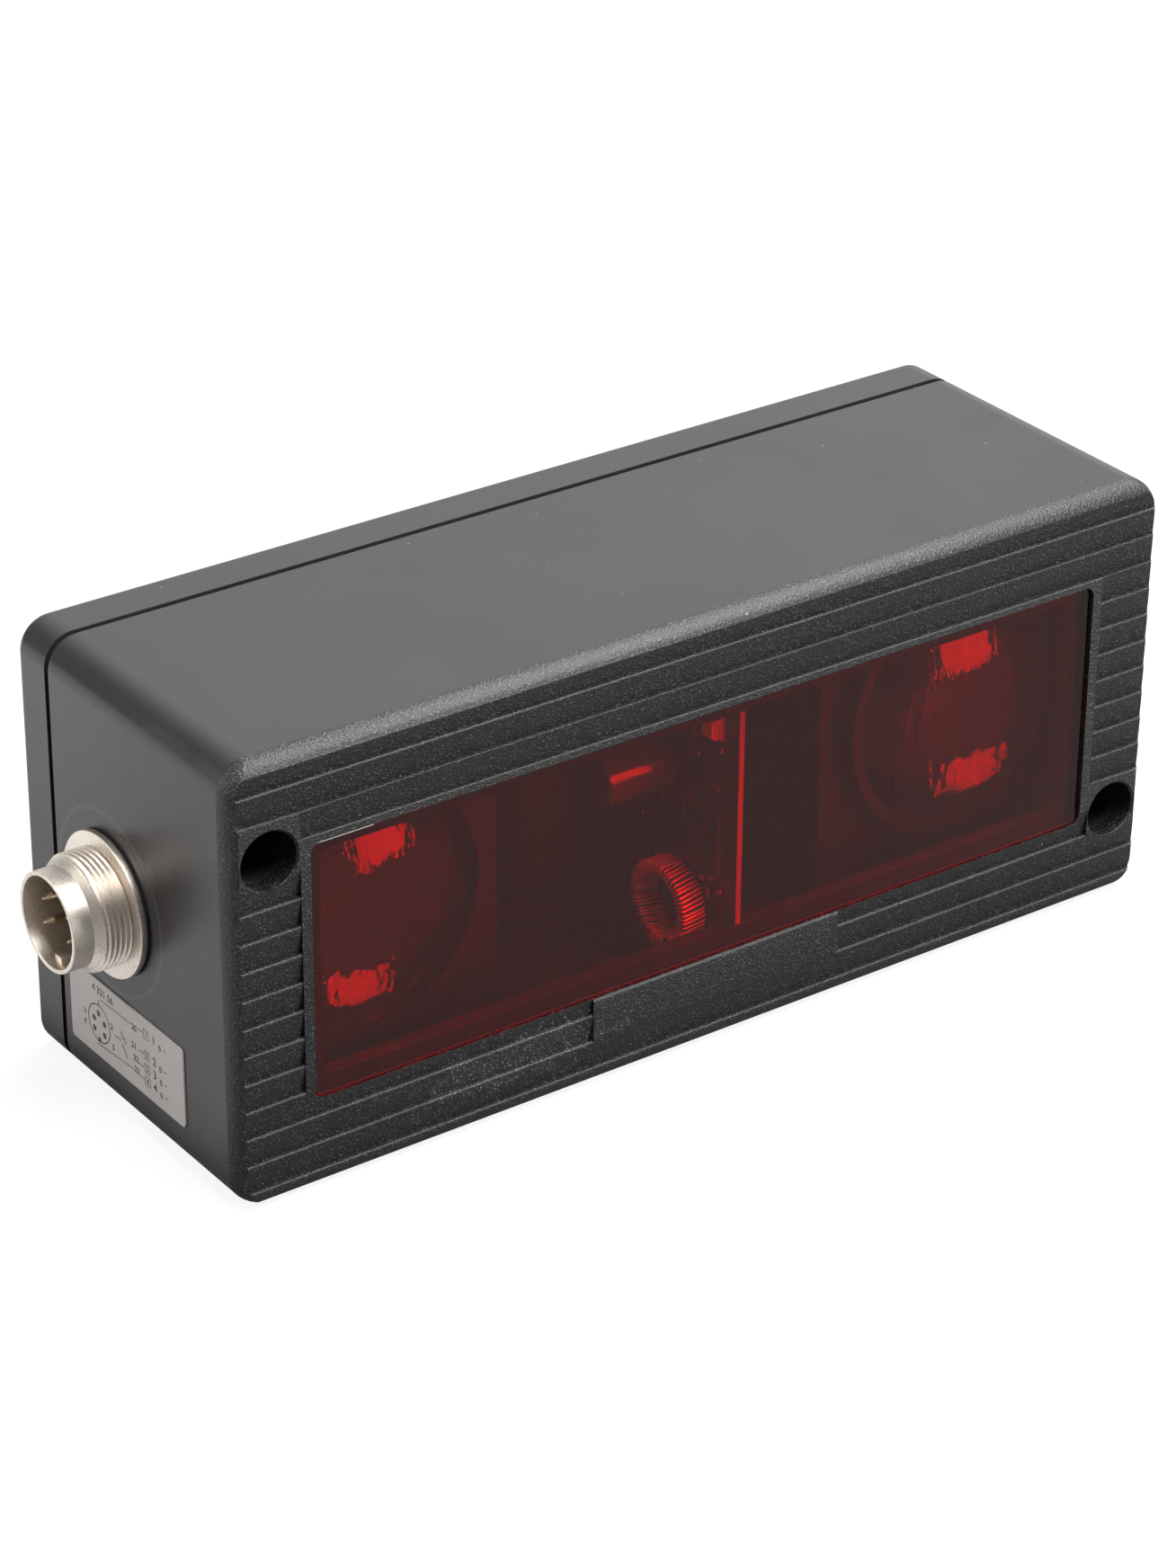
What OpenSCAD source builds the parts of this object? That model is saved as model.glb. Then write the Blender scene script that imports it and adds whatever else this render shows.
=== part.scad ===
// Diffuse photoelectric sensor: a flat black box with a slatted front frame, a red filter
// window, a threaded round connector on the left end and the optics and boards inside.
// Real size in millimetres. X runs along the length, the window faces -Y, Z is up.
// The origin is on the bottom face, below the middle of the body.

/* [Body] */
// overall length of the body, without the connector
body_l = 150; // [145:1:180]
// overall height of the body
body_h = 63.6; // [62:0.2:77]
// overall depth of the body, window side to back
body_d = 51.5; // [50:0.5:62]
// radius of the four long edges that run front to back
edge_r = 4.4; // [4.4:0.1:5.5]
// wall thickness of the body and of the rear cover's rim
wall_t = 3; // [2.4:0.1:3.6]
// thickness of the rear cover, seam to back
cover_d = 7; // [6.5:0.1:8.5]
// width of the dark joint between body and rear cover
joint_w = 1; // [0.6:0.1:1.2]
// how far the seal lies below the outside in that joint
seal_inset = 0.7; // [0.4:0.1:1]
// radius of the rear cover's back edge
cover_r = 1.2; // [0.6:0.1:2]

/* [Front frame] */
// thickness of the front frame where it meets the body
frame_t = 3; // [3:0.1:3.6]
// depth over which the front frame's outer edge is rounded
frame_round = 3; // [2.6:0.1:3]
// width of the rounding along the frame's top and bottom
top_round_w = 2.5; // [1.5:0.1:2.5]
// width of the rounding at the frame's two ends
end_round_w = 1.2; // [1.2:0.1:2]
// height of one slat
slat_pitch = 4.035; // [3.4:0.005:4.2]
// depth of the step below each slat
slat_depth = 0.7; // [0.4:0.05:0.9]
// height of the first step above the middle of the body
slat_first = 27.66; // [26:0.01:29]
// distance from the middle to the flat rims beside the window
rim_x = 65; // [64:0.1:68]
// width of the bare field below the window
field_w = 40.8; // [20:0.2:60]

/* [Window] */
// length of the window opening
win_l = 127; // [120:0.5:128]
// height of the window opening
win_h = 37.1; // [34:0.1:38]
// corner radius of the window opening
win_r = 1.5; // [1.2:0.1:3]
// thickness of the window plate
win_t = 2.1; // [1.6:0.1:2.2]
// how far the window lies behind the front
win_in = 0.5; // [0.4:0.05:0.6]
// width of the ledge that carries the window
ledge_w = 2.3; // [1.6:0.1:3]
// thickness of the seal under the window
win_seal_t = 0.4; // [0.3:0.05:0.6]

/* [Mounting holes] */
// distance of a mounting hole's axis from the body's end
hole_edge = 5.6; // [5:0.1:6.5]
// distance between the two mounting holes in height
hole_dz = 36; // [34:0.1:37]
// diameter of the deep recess for the screw head
recess_d = 8; // [7:0.1:8.4]
// depth of that recess from the front
recess_h = 14; // [8:0.5:30]
// bevel round its mouth
hole_bevel = 0.3; // [0.1:0.05:0.5]
// diameter of the hole for the screw
screw_d = 4.5; // [4.2:0.1:5]

/* [Connector] */
// distance of the connector's axis behind the front
plug_y = 30.3; // [28:0.1:32]
// diameter of the connector's thread
thread_d = 16; // [14:0.1:17]
// how far the connector's flange stands out past the thread
flange_rim = 1.95; // [1.5:0.05:3]
// thickness of the flange
flange_t = 0.9; // [0.7:0.05:1.4]
// distance from the body to the end of the thread
thread_end = 4.9; // [4:0.1:6]
// step from the thread down to the sleeve ahead of it
sleeve_step = 1.15; // [0.8:0.05:1.4]
// distance from the body to the mouth of the sleeve
mouth_out = 9.2; // [8.5:0.1:12]
// wall thickness of the sleeve
sleeve_wall = 0.6; // [0.5:0.05:1]
// diameter of the circle that the pins stand on
pin_circle_d = 7; // [6:0.1:8]
// diameter of a pin
pin_d = 1; // [0.8:0.05:1.2]

/* [Optics] */
// distance between the two lens axes
lens_dx = 99.2; // [96:0.1:100]
// diameter of a lens
lens_d = 35.6; // [32:0.1:37]
// depth of the lens rim's front behind the front
lens_y = 12; // [11.5:0.1:14]
// bulge of the lens's front face
lens_bulge = 6; // [3:0.1:6.3]
// bulge of the lens's back face
lens_back_bulge = 1.2; // [0.5:0.1:2]
// thickness of the lens rim
lens_rim_t = 2; // [1.5:0.1:2.5]
// diameter of a light source or receiver element
diode_d = 5; // [3:0.5:5]

/* [Board] */
// distance of the main board's left face from the middle
board_x = 4.1; // [2:0.1:8]
// thickness of the boards
board_t = 0.8; // [0.6:0.05:1.2]
// outer diameter of the ring coil
coil_d = 12.8; // [11:0.1:13]
// width of the ring coil along its axis
coil_w = 4.2; // [4:0.1:5]
// diameter of the capacitor
cap_d = 8; // [5:0.1:8.4]
// length of the capacitor
cap_l = 11; // [8:0.1:14]
// distance between the driver's leads
lead_pitch = 2.54; // [2:0.01:2.6]

/* [Label] */
// width of the wiring label
label_w = 28.6; // [20:0.1:29]
// height of the wiring label
label_h = 11.7; // [8:0.1:12.5]
// thickness of the wiring label
label_t = 0.2; // [0.1:0.05:0.3]

/* [Hidden] */

$fn = 64;
over = 1;              // overshoot of a cutting body
slip = 0.15;           // clearance round a piece that drops in
snug = 0.05;           // clearance round a piece that is pushed in

plastic_black = [0.10, 0.10, 0.105];
plastic_grey = [0.27, 0.265, 0.26];
filter_red = [0.35, 0.05, 0.04, 0.55];
rubber_black = [0.03, 0.03, 0.03];
nickel = [0.72, 0.68, 0.62];
steel = [0.6, 0.6, 0.6];
gold = [0.85, 0.62, 0.35];
clear = [0.85, 0.88, 0.9, 0.4];

// depths, counted from the front plane
seam_y = body_d - cover_d;                  // front face of the rear cover
shell_y = seam_y - joint_w;                 // rear face of the body
ledge_y = win_in + win_t + win_seal_t;      // front face of the window ledge
frame_back = ledge_y + 2;                   // back of the front frame's inner part
lens_back = lens_y + lens_rim_t;            // back of a lens's rim
lens_seat_w = 1;                            // width of the step in a barrel that carries a lens
lens_edge_w = 0.2;                          // flat ring round a lens's front face
flange_back = lens_back + 2;                // back of a barrel's flange
barrel_end = 35;                            // back of a barrel
inner_l = body_l - 2 * wall_t;
inner_h = body_h - 2 * wall_t;
hole_dx = body_l - 2 * hole_edge;           // distance between the mounting holes along the length

inner_r = edge_r - wall_t / 2;              // corner radius inside the body

// bosses, posts and rails inside the body
boss_r = 3.2;
boss_bite = 0.5;                            // how far a corner boss reaches into the walls
corner_boss = [inner_l / 2 - boss_r + boss_bite, inner_h / 2 - boss_r + boss_bite];
inner_boss_x = 30.4;
inner_boss_end = seam_y - 8;
web_t = 2;                                  // web that ties an inner boss to the wall
post_r = recess_d / 2 + 2;                  // tube round a mounting hole
neck_r = screw_d / 2 + 1.3;                 // its thinner end inside the seal
rail_t = 1.2;
rail_h = 2.6;
board_end = shell_y - 3;                    // back edge of the main board and its rails
cover_back_t = 2.5;                         // thickness of the rear cover's back wall

// small screws
screw_r = 1.25;                             // radius of the thread
head_r = 2.4;
head_t = 1.7;
cover_shank = 10;
barrel_shank = 7.5;
sunk = 2.2;                                 // depth of the cover screws' recesses

// moves a piece from the front plane's middle to its place in the part
module placed() {
  translate([0, -body_d / 2, body_h / 2]) children();
}

// turns a body drawn upwards so that it runs to the back
module to_back() {
  rotate([-90, 0, 0]) children();
}

// turns a body drawn upwards so that it runs out of the left end
module to_left() {
  rotate([0, -90, 0]) children();
}

// round rod from front to back, from depth y0 to depth y1
module rod_y(r, y0, y1) {
  translate([0, y0, 0]) to_back() cylinder(r = r, h = y1 - y0);
}

// outline with round corners
module round_rect(l, h, r) {
  square([l - 2 * r, h], center = true);
  square([l, h - 2 * r], center = true);
  for (sx = [-1, 1], sz = [-1, 1]) {
    translate([sx * (l / 2 - r), sz * (h / 2 - r)]) circle(r);
  }
}

// plate with round corners from depth y0 to depth y1
module slab(l, h, r, y0, y1) {
  translate([0, y1, 0]) rotate([90, 0, 0]) linear_extrude(y1 - y0) round_rect(l, h, r);
}

// radius of the arc, or ball, that rises by rise over half its width
function arc_radius(half_w, rise) = (half_w * half_w + rise * rise) / (2 * rise);

// section of a plate whose front edges are arcs of radius r round centres at depth c
module nose(w, t, r, c) {
  intersection() {
    union() {
      if (t > c) {
        translate([-w / 2, c]) square([w, t - c]);
      }
      translate([-w / 2 + r, 0]) square([w - 2 * r, t]);
      for (s = [-1, 1]) {
        translate([s * (w / 2 - r), c]) circle(r);
      }
    }
    translate([-w / 2, 0]) square([w, t]);
  }
}

// plate from depth 0 to t with round corners and a front edge as in the section above
module soft_plate(l, h, t, r, front_r, c) {
  for (sx = [-1, 1], sz = [-1, 1]) {
    translate([sx * (l / 2 - r), 0, sz * (h / 2 - r)]) to_back() rotate_extrude() {
      intersection() {
        nose(2 * r, t, front_r, c);
        square([r, t]);
      }
    }
  }
  translate([-(l / 2 - r), 0, 0]) rotate([0, 90, 0]) linear_extrude(l - 2 * r) nose(h, t, front_r, c);
  translate([0, 0, -(h / 2 - r)]) linear_extrude(h - 2 * r) nose(l, t, front_r, c);
}

// the two mounting holes, upper left and lower right
module at_holes() {
  for (s = [-1, 1]) {
    translate([s * hole_dx / 2, 0, -s * hole_dz / 2]) children();
  }
}

module at_corner_bosses() {
  for (sx = [-1, 1], sz = [-1, 1]) {
    translate([sx * corner_boss[0], 0, sz * corner_boss[1]]) children();
  }
}

// the screws of one lens barrel, for the barrel on the left
module at_barrel_screws() {
  for (sz = [-1, 1]) {
    translate([-inner_boss_x, 0, sz * corner_boss[1]]) children();
  }
  translate([-corner_boss[0], 0, -corner_boss[1]]) children();
}

// left and right optics, the right one turned half round so that both clear the holes
module both_sides() {
  children();
  rotate([0, 180, 0]) children();
}

module housing() {
  color(plastic_grey) placed() difference() {
    intersection() {
      union() {
        difference() {
          slab(body_l, body_h, edge_r, frame_t, shell_y);
          slab(inner_l, inner_h, inner_r, frame_t - over, shell_y + over);
        }
        at_holes() rod_y(post_r, frame_t, shell_y);
        at_holes() rod_y(neck_r, frame_t, seam_y);
        at_corner_bosses() rod_y(boss_r, flange_back, seam_y);
        for (sx = [-1, 1], sz = [-1, 1]) {
          translate([sx * inner_boss_x, 0, sz * corner_boss[1]]) rod_y(boss_r, flange_back, inner_boss_end);
          translate([sx * inner_boss_x - web_t / 2, flange_back, sz > 0 ? corner_boss[1] : -inner_h / 2 - over])
            cube([web_t, inner_boss_end - flange_back, boss_r + over]);
        }
        for (sx = [-1, 1], sz = [-1, 1]) {
          translate([
            board_x + board_t / 2 + sx * (board_t / 2 + snug + rail_t / 2) - rail_t / 2,
            flange_back,
            sz > 0 ? inner_h / 2 - rail_h : -inner_h / 2 - over
          ]) cube([rail_t, board_end - flange_back, rail_h + over]);
        }
      }
      slab(body_l, body_h, edge_r, 0, body_d);
    }
    at_holes() rod_y(recess_d / 2, 0, recess_h);
    at_holes() rod_y(screw_d / 2, 0, body_d);
    at_corner_bosses() rod_y(screw_r, seam_y - cover_shank, seam_y + over);
    both_sides() at_barrel_screws() rod_y(screw_r, flange_back - over, flange_back + barrel_shank);
    translate([-body_l / 2 - over, plug_y, 0]) rotate([0, 90, 0])
      cylinder(r = shank_r + snug, h = wall_t + 2 * over);
  }
}

slat_start = 0.02;                          // depth at which a slat begins

// one wedge cut that leaves a slat sloping inwards and a step below it
module slat_cut(row, x0, x1) {
  low = slat_first - row * slat_pitch;
  tilt = atan(slat_depth / slat_pitch);
  half = body_l / 2 + 2 * over;
  difference() {
    translate([x0, -over, low]) cube([x1 - x0, frame_t + over - 0.1, slat_pitch]);
    translate([-half, slat_start, low + slat_pitch]) rotate([tilt, 0, 0]) translate([0, 0, -2 * slat_pitch])
      cube([2 * half, 9, 3 * slat_pitch]);
  }
}

module slats() {
  edge = body_l / 2 + over;
  for (row = [0, 1, 14]) {
    slat_cut(row, -edge, edge);
  }
  slat_cut(2, -rim_x, edge);
  for (row = [3 : 10]) {
    slat_cut(row, rim_x, edge);
  }
  for (row = [4 : 11]) {
    slat_cut(row, -edge, -rim_x);
  }
  slat_cut(12, -edge, -field_w / 2);
  slat_cut(12, field_w / 2, rim_x);
  slat_cut(13, -edge, -field_w / 2);
  slat_cut(13, field_w / 2, edge);
}

top_lift = 0.02;                            // lets the arc along the top cross the body's outline, not touch it

// the frame's outer shape: narrowly rounded ends, widely rounded top and bottom
module frame_block() {
  intersection() {
    soft_plate(body_l, body_h, frame_t, edge_r, arc_radius(frame_round, end_round_w), frame_round);
    translate([-body_l / 2 - over, 0, 0]) rotate([0, 90, 0]) linear_extrude(body_l + 2 * over)
      nose(body_h + 2 * top_lift, frame_t, arc_radius(frame_round, top_round_w), frame_round);
  }
}

module front_bezel() {
  spigot_l = inner_l - 2 * slip;
  spigot_h = inner_h - 2 * slip;
  spigot_end = frame_back + 1;
  spigot_t = 2;
  color(plastic_black) placed() difference() {
    union() {
      frame_block();
      difference() {
        slab(spigot_l, spigot_h, inner_r, frame_t - 0.5, spigot_end);
        slab(spigot_l - 2 * spigot_t, spigot_h - 2 * spigot_t, inner_r - 1, frame_t, spigot_end + over);
      }
      slab(win_l + 2, win_h + 4, win_r + 1, frame_t - 0.5, frame_back);
    }
    at_holes() rod_y(post_r + slip, frame_t, spigot_end + over);
    slab(win_l, win_h, win_r, -over, ledge_y);
    slab(win_l - 2 * ledge_w, win_h - 2 * ledge_w, win_r, 0, frame_back + over);
    at_holes() rod_y(recess_d / 2 + snug, -over, frame_t + over);
    at_holes() translate([0, -over, 0]) to_back()
      cylinder(r1 = recess_d / 2 + snug + hole_bevel + over, r2 = recess_d / 2 + snug, h = hole_bevel + over);
    slats();
  }
}

module filter_window() {
  gap = 0.1;
  win_edge_r = 0.3;
  color(filter_red) placed() translate([0, win_in, 0])
    soft_plate(win_l - 2 * gap, win_h - 2 * gap, win_t, win_r - gap, win_edge_r, win_edge_r);
}

module window_seal() {
  color(rubber_black) placed() difference() {
    slab(win_l - 0.4, win_h - 0.4, win_r - 0.2, ledge_y - win_seal_t, ledge_y);
    slab(win_l - 2 * ledge_w, win_h - 2 * ledge_w, win_r, 0, ledge_y + over);
  }
}

module rear_cover() {
  pad = cover_d - cover_back_t + 0.5;
  color(plastic_grey) placed() difference() {
    union() {
      difference() {
        translate([0, body_d, 0]) mirror([0, 1, 0]) soft_plate(body_l, body_h, cover_d, edge_r, cover_r, cover_r);
        slab(inner_l, inner_h, inner_r, seam_y - over, body_d - cover_back_t);
      }
      intersection() {
        union() {
          at_corner_bosses() rod_y(boss_r, seam_y, seam_y + pad);
          at_holes() rod_y(post_r, seam_y, seam_y + pad);
        }
        slab(body_l - 1, body_h - 1, edge_r - 0.5, seam_y, seam_y + pad);
      }
    }
    at_corner_bosses() rod_y(screw_r + 0.2, seam_y - over, body_d + over);
    at_corner_bosses() rod_y(head_r + 0.3, body_d - sunk, body_d + over);
    at_holes() rod_y(screw_d / 2, seam_y - over, body_d + over);
  }
}

module rear_seal() {
  color(rubber_black) placed() difference() {
    slab(body_l - 2 * seal_inset, body_h - 2 * seal_inset, edge_r - seal_inset, shell_y, seam_y);
    slab(inner_l, inner_h, inner_r, shell_y - over, seam_y + over);
    at_holes() rod_y(neck_r + snug, shell_y - over, seam_y + over);
    at_corner_bosses() rod_y(boss_r + snug, shell_y - over, seam_y + over);
  }
}

// small pan-head screw, head to the back, with a cross recess
module small_screw(shank) {
  cross = [2.8, 0.5];
  cross_depth = 0.9;
  difference() {
    union() {
      rod_y(head_r, 0, head_t);
      rod_y(screw_r - snug, -shank, 0.1);
    }
    for (a = [0, 90]) {
      rotate([0, a, 0]) translate([-cross[0] / 2, head_t - cross_depth, -cross[1] / 2])
        cube([cross[0], cross_depth + over, cross[1]]);
    }
  }
}

module cover_screws() {
  color(steel) placed() at_corner_bosses() translate([0, body_d - sunk, 0]) small_screw(cover_shank);
}

module barrel_screws() {
  color(steel) placed() both_sides() at_barrel_screws()
    translate([0, lens_back, 0]) mirror([0, 1, 0]) small_screw(barrel_shank);
}

// the connector is drawn upwards from the left end's face and turned to the left
module at_plug() {
  translate([-body_l / 2, -body_d / 2 + plug_y, body_h / 2]) to_left() children();
}

insert_face = 0.7;     // front of the insulator
plug_in = 8;           // how far the connector reaches into the body
washer_t = 0.3;        // gasket under the flange
shank_r = thread_d / 2 - 0.5;
flange_d = thread_d + 2 * flange_rim;
sleeve_d = thread_d - 2 * sleeve_step;
mouth_d = sleeve_d - 2 * sleeve_wall;
key = [1.2, 1.6, 6.4]; // rib in the sleeve that the mating plug is keyed to
cup_l = 3;             // solder cup behind each pin
cup_d = pin_d + 0.8;

module connector_shell() {
  color(nickel) at_plug() {
    rotate_extrude() polygon([
      [mouth_d / 2, mouth_out - 0.2],
      [mouth_d / 2 + 0.2, mouth_out],
      [sleeve_d / 2 - 0.15, mouth_out],
      [sleeve_d / 2, mouth_out - 0.2],
      [sleeve_d / 2, thread_end + 1.3],
      [thread_d / 2 - 0.4, thread_end + 0.5],
      [thread_d / 2, thread_end],
      [thread_d / 2, washer_t + flange_t],
      [flange_d / 2 - 0.2, washer_t + flange_t],
      [flange_d / 2, washer_t + flange_t - 0.2],
      [flange_d / 2, washer_t],
      [shank_r, washer_t],
      [shank_r, -plug_in],
      [mouth_d / 2, -plug_in]
    ]);
    translate([-mouth_d / 2 - 0.2, -key[1] / 2, insert_face + 0.8]) cube(key);
  }
}

module connector_gasket() {
  color(rubber_black) at_plug() difference() {
    cylinder(r = flange_d / 2 - 0.25, h = washer_t);
    translate([0, 0, -over]) cylinder(r = shank_r, h = washer_t + 2 * over);
  }
}

module connector_nut() {
  across = thread_d + 3;
  nut_t = 2.5;
  color(nickel) at_plug() translate([0, 0, -wall_t - nut_t]) difference() {
    rotate([0, 0, 90]) cylinder(d = across / cos(30), h = nut_t, $fn = 6);
    translate([0, 0, -over]) cylinder(r = shank_r, h = nut_t + 2 * over);
  }
}

pin_angles = [30, 90, 150, 210, 330];

// the pins stand round the axis, and the lowest place, over the key, stays free
module at_pins() {
  for (a = pin_angles) {
    translate([sin(a) * pin_circle_d / 2, cos(a) * pin_circle_d / 2, 0]) children();
  }
}

module connector_insert() {
  color([0.05, 0.05, 0.05]) at_plug() difference() {
    translate([0, 0, -plug_in]) cylinder(r = mouth_d / 2, h = plug_in + insert_face);
    at_pins() translate([0, 0, -plug_in - over]) cylinder(d = pin_d, h = plug_in + insert_face + 2 * over);
  }
}

module connector_pins() {
  tip = mouth_out - 1.2;
  point = 1.3;
  color(gold) at_plug() at_pins() {
    translate([0, 0, -plug_in - 0.5]) cylinder(d = pin_d, h = tip - point + plug_in + 0.5);
    translate([0, 0, tip - point]) cylinder(d1 = pin_d, d2 = 0.3 * pin_d, h = point);
    translate([0, 0, -plug_in - cup_l]) difference() {
      cylinder(d = cup_d, h = cup_l);
      translate([0, 0, -over]) cylinder(r = wire_r + snug, h = over + cup_l - 1);
    }
  }
}

wire_r = 0.5;
wire_end_r = 0.46;                           // the wires' straight ends, a hair thinner
wire_step = 3;                               // length over which a wire crosses over
wire_y = seam_y - 4.2;                       // depth at which the wires cross
wire_gap = 2;
wire_rows = [1, 2, 0, -2, -1];               // row of each pin's wire on the header
header = [4, 4.4, 11.5];

// wire along X from x0, over to a parallel line at the distance across, and on to x_end
module wire(x0, x_end, across) {
  x1 = x0 + cup_l + 1;
  x2 = x1 + wire_step;
  past = wire_end_r / 3;
  translate([x0, 0, 0]) rotate([0, 90, 0]) cylinder(r = wire_end_r, h = x1 - x0 + past);
  translate([x1, 0, 0]) rotate([0, 0, atan2(across, wire_step)]) rotate([0, 90, 0])
    translate([0, 0, -wire_r]) cylinder(r = wire_r, h = norm([wire_step, across]) + 2 * wire_r);
  translate([x2 - past, across, 0]) rotate([0, 90, 0]) cylinder(r = wire_end_r, h = x_end - x2 + past);
}

// five wires from the solder cups to the header on the main board
module connector_wires() {
  start_x = -body_l / 2 + plug_in + 1;
  end_x = board_x - header[0];
  color([0.75, 0.74, 0.7]) placed() for (i = [0 : 4]) {
    y0 = plug_y + cos(pin_angles[i]) * pin_circle_d / 2;
    z0 = sin(pin_angles[i]) * pin_circle_d / 2;
    dy = wire_y - y0;
    dz = wire_rows[i] * wire_gap - z0;
    translate([0, y0, z0]) rotate([atan2(dz, dy), 0, 0]) wire(start_x, end_x, norm([dy, dz]));
  }
}

module wire_header() {
  color([0.85, 0.83, 0.78]) placed()
    translate([board_x - header[0], wire_y - header[1] / 2, -header[2] / 2]) cube(header);
}

module wiring_label() {
  label_y = 27.3;
  label_z = -19.3;
  color([0.5, 0.48, 0.49]) placed() translate([-body_l / 2 - label_t, label_y, label_z])
    rotate([90, 0, 90]) linear_extrude(label_t) round_rect(label_w, label_h, 0.8);
}

ball_facets = 360;                          // facets round the balls that shape the lens faces

// lens with a full curve in front and a slight one behind, inside the barrel's seat
module lens() {
  r = lens_d / 2;
  front_r = r - lens_edge_w;
  front_ball = arc_radius(front_r, lens_bulge);
  back_r = r - lens_seat_w - slip;
  back_ball = arc_radius(back_r, lens_back_bulge);
  rod_y(r, lens_y, lens_back);
  intersection() {
    rod_y(front_r, lens_y - lens_bulge - over, lens_y + 0.1);
    translate([0, lens_y - lens_bulge + front_ball, 0]) sphere(r = front_ball, $fn = ball_facets);
  }
  intersection() {
    rod_y(back_r, lens_back - 0.1, lens_back + lens_back_bulge + over);
    translate([0, lens_back + lens_back_bulge - back_ball, 0]) sphere(r = back_ball, $fn = ball_facets);
  }
}

module at_left_lens() {
  translate([-lens_dx / 2, 0, 0]) children();
}

module emitter_lens() {
  color(clear) placed() at_left_lens() lens();
}

module receiver_lens() {
  color(clear) placed() rotate([0, 180, 0]) at_left_lens() lens();
}

throat_r = 5.2;
barrel_wall = 1.6;
flange_gap = 0.4;                            // room round a barrel's flange
barrel_cut = [8, 4, inner_h / 2];            // corner left free for the mounting hole's post
pad = [16, 2, 24];                           // plate that carries the diode's board
peg_r = 0.9;
peg_z = 9.5;
leg_r = 0.25;
leg_z = 1.27;

// funnel that holds a lens and narrows to its diode, on a flange with three screws
module barrel() {
  r = lens_d / 2 + snug;
  flange_l = inner_l / 2 - flange_gap - inner_boss_x + boss_r + flange_gap;
  difference() {
    union() {
      at_left_lens() to_back() rotate_extrude() polygon([
        [r - lens_seat_w, lens_back],
        [r, lens_back],
        [r, lens_y - 1],
        [r + barrel_wall, lens_y - 1],
        [r + barrel_wall, flange_back + 1],
        [throat_r + barrel_wall, barrel_end - 4],
        [throat_r + barrel_wall, barrel_end],
        [throat_r, barrel_end],
        [throat_r, barrel_end - 4]
      ]);
      difference() {
        intersection() {
          translate([-inner_l / 2 + flange_gap, lens_back, -inner_h / 2])
            cube([flange_l, flange_back - lens_back, inner_h]);
          slab(inner_l - 2 * flange_gap, inner_h - 2 * flange_gap, inner_r, lens_back - over, flange_back + over);
        }
        at_left_lens() rod_y(r - 0.5, lens_back - over, flange_back + over);
        at_holes() rod_y(post_r + flange_gap, lens_back - over, flange_back + over);
        translate([-inner_l / 2, lens_back - over, hole_dz / 2]) cube(barrel_cut);
      }
      at_left_lens() {
        translate([-pad[0] / 2, barrel_end - pad[1], -pad[2] / 2]) cube(pad);
        for (s = [-1, 1]) {
          translate([0, 0, s * peg_z]) rod_y(peg_r, barrel_end - 1, barrel_end + board_t + 0.8);
        }
      }
    }
    at_left_lens() rod_y(throat_r, barrel_end - 4, barrel_end + over);
    at_barrel_screws() rod_y(screw_r + slip, lens_back - over, flange_back + over);
  }
}

module emitter_barrel() {
  color(plastic_black) placed() barrel();
}

module receiver_barrel() {
  color(plastic_black) placed() rotate([0, 180, 0]) barrel();
}

// light element with a domed front and two legs through its board
module diode() {
  r = diode_d / 2;
  top = barrel_end - 7;
  at_left_lens() {
    rod_y(r, top + r, barrel_end - 1);
    translate([0, top + r, 0]) sphere(r = r);
    rod_y(r + 0.4, barrel_end - 1, barrel_end);
    for (s = [-1, 1]) {
      translate([0, 0, s * leg_z]) rod_y(leg_r, barrel_end - 1, barrel_end + board_t + 1);
    }
  }
}

module diode_board() {
  difference() {
    at_left_lens() translate([-pad[0] / 2, barrel_end, -pad[2] / 2]) cube([pad[0], board_t, pad[2]]);
    at_left_lens() for (s = [-1, 1]) {
      translate([0, 0, s * peg_z]) rod_y(peg_r + snug, barrel_end - over, barrel_end + board_t + over);
      translate([0, 0, s * leg_z]) rod_y(leg_r + snug, barrel_end - over, barrel_end + board_t + over);
    }
  }
}

module emitter_diode() {
  color([0.7, 0.6, 0.6, 0.6]) placed() diode();
}

module receiver_diode() {
  color([0.1, 0.08, 0.1]) placed() rotate([0, 180, 0]) diode();
}

module emitter_board() {
  color([0.1, 0.3, 0.15]) placed() diode_board();
}

module receiver_board() {
  color([0.1, 0.3, 0.15]) placed() rotate([0, 180, 0]) diode_board();
}

// upright board that also parts the light source's side from the receiver's side
module main_board() {
  neck = win_h / 2 - ledge_w - 0.25;
  wide = inner_h / 2 - 0.2;
  front = ledge_y - win_seal_t + 0.1;
  shoulder_y = frame_back + 1.4;
  color([0.12, 0.33, 0.16]) placed() translate([board_x, 0, 0]) rotate([90, 0, 90])
    linear_extrude(board_t) polygon([
      [front, -neck],
      [shoulder_y, -neck],
      [shoulder_y, -wide + 5],
      [flange_back, -wide],
      [board_end, -wide],
      [board_end, wide],
      [flange_back, wide],
      [shoulder_y, wide - 5],
      [shoulder_y, neck],
      [front, neck]
    ]);
}

coil_at = [14.5, -16.9];    // depth and height of the coil's axis
coil_lift = 0.5;            // gap between the coil and the board
core_w = coil_w - 1;
core_r = [coil_d / 2 - 1.6, coil_d / 2 - 0.5];

// a body drawn upwards on the board's left face stands out to the left
module on_board(y, z) {
  placed() translate([board_x, y, z]) to_left() children();
}

module toroid_core() {
  color([0.35, 0.35, 0.36]) on_board(coil_at[0], coil_at[1])
    translate([0, 0, coil_lift + (coil_w - core_w) / 2]) difference() {
      cylinder(r = core_r[1], h = core_w);
      translate([0, 0, -over]) cylinder(r = core_r[0], h = core_w + 2 * over);
    }
}

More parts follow.
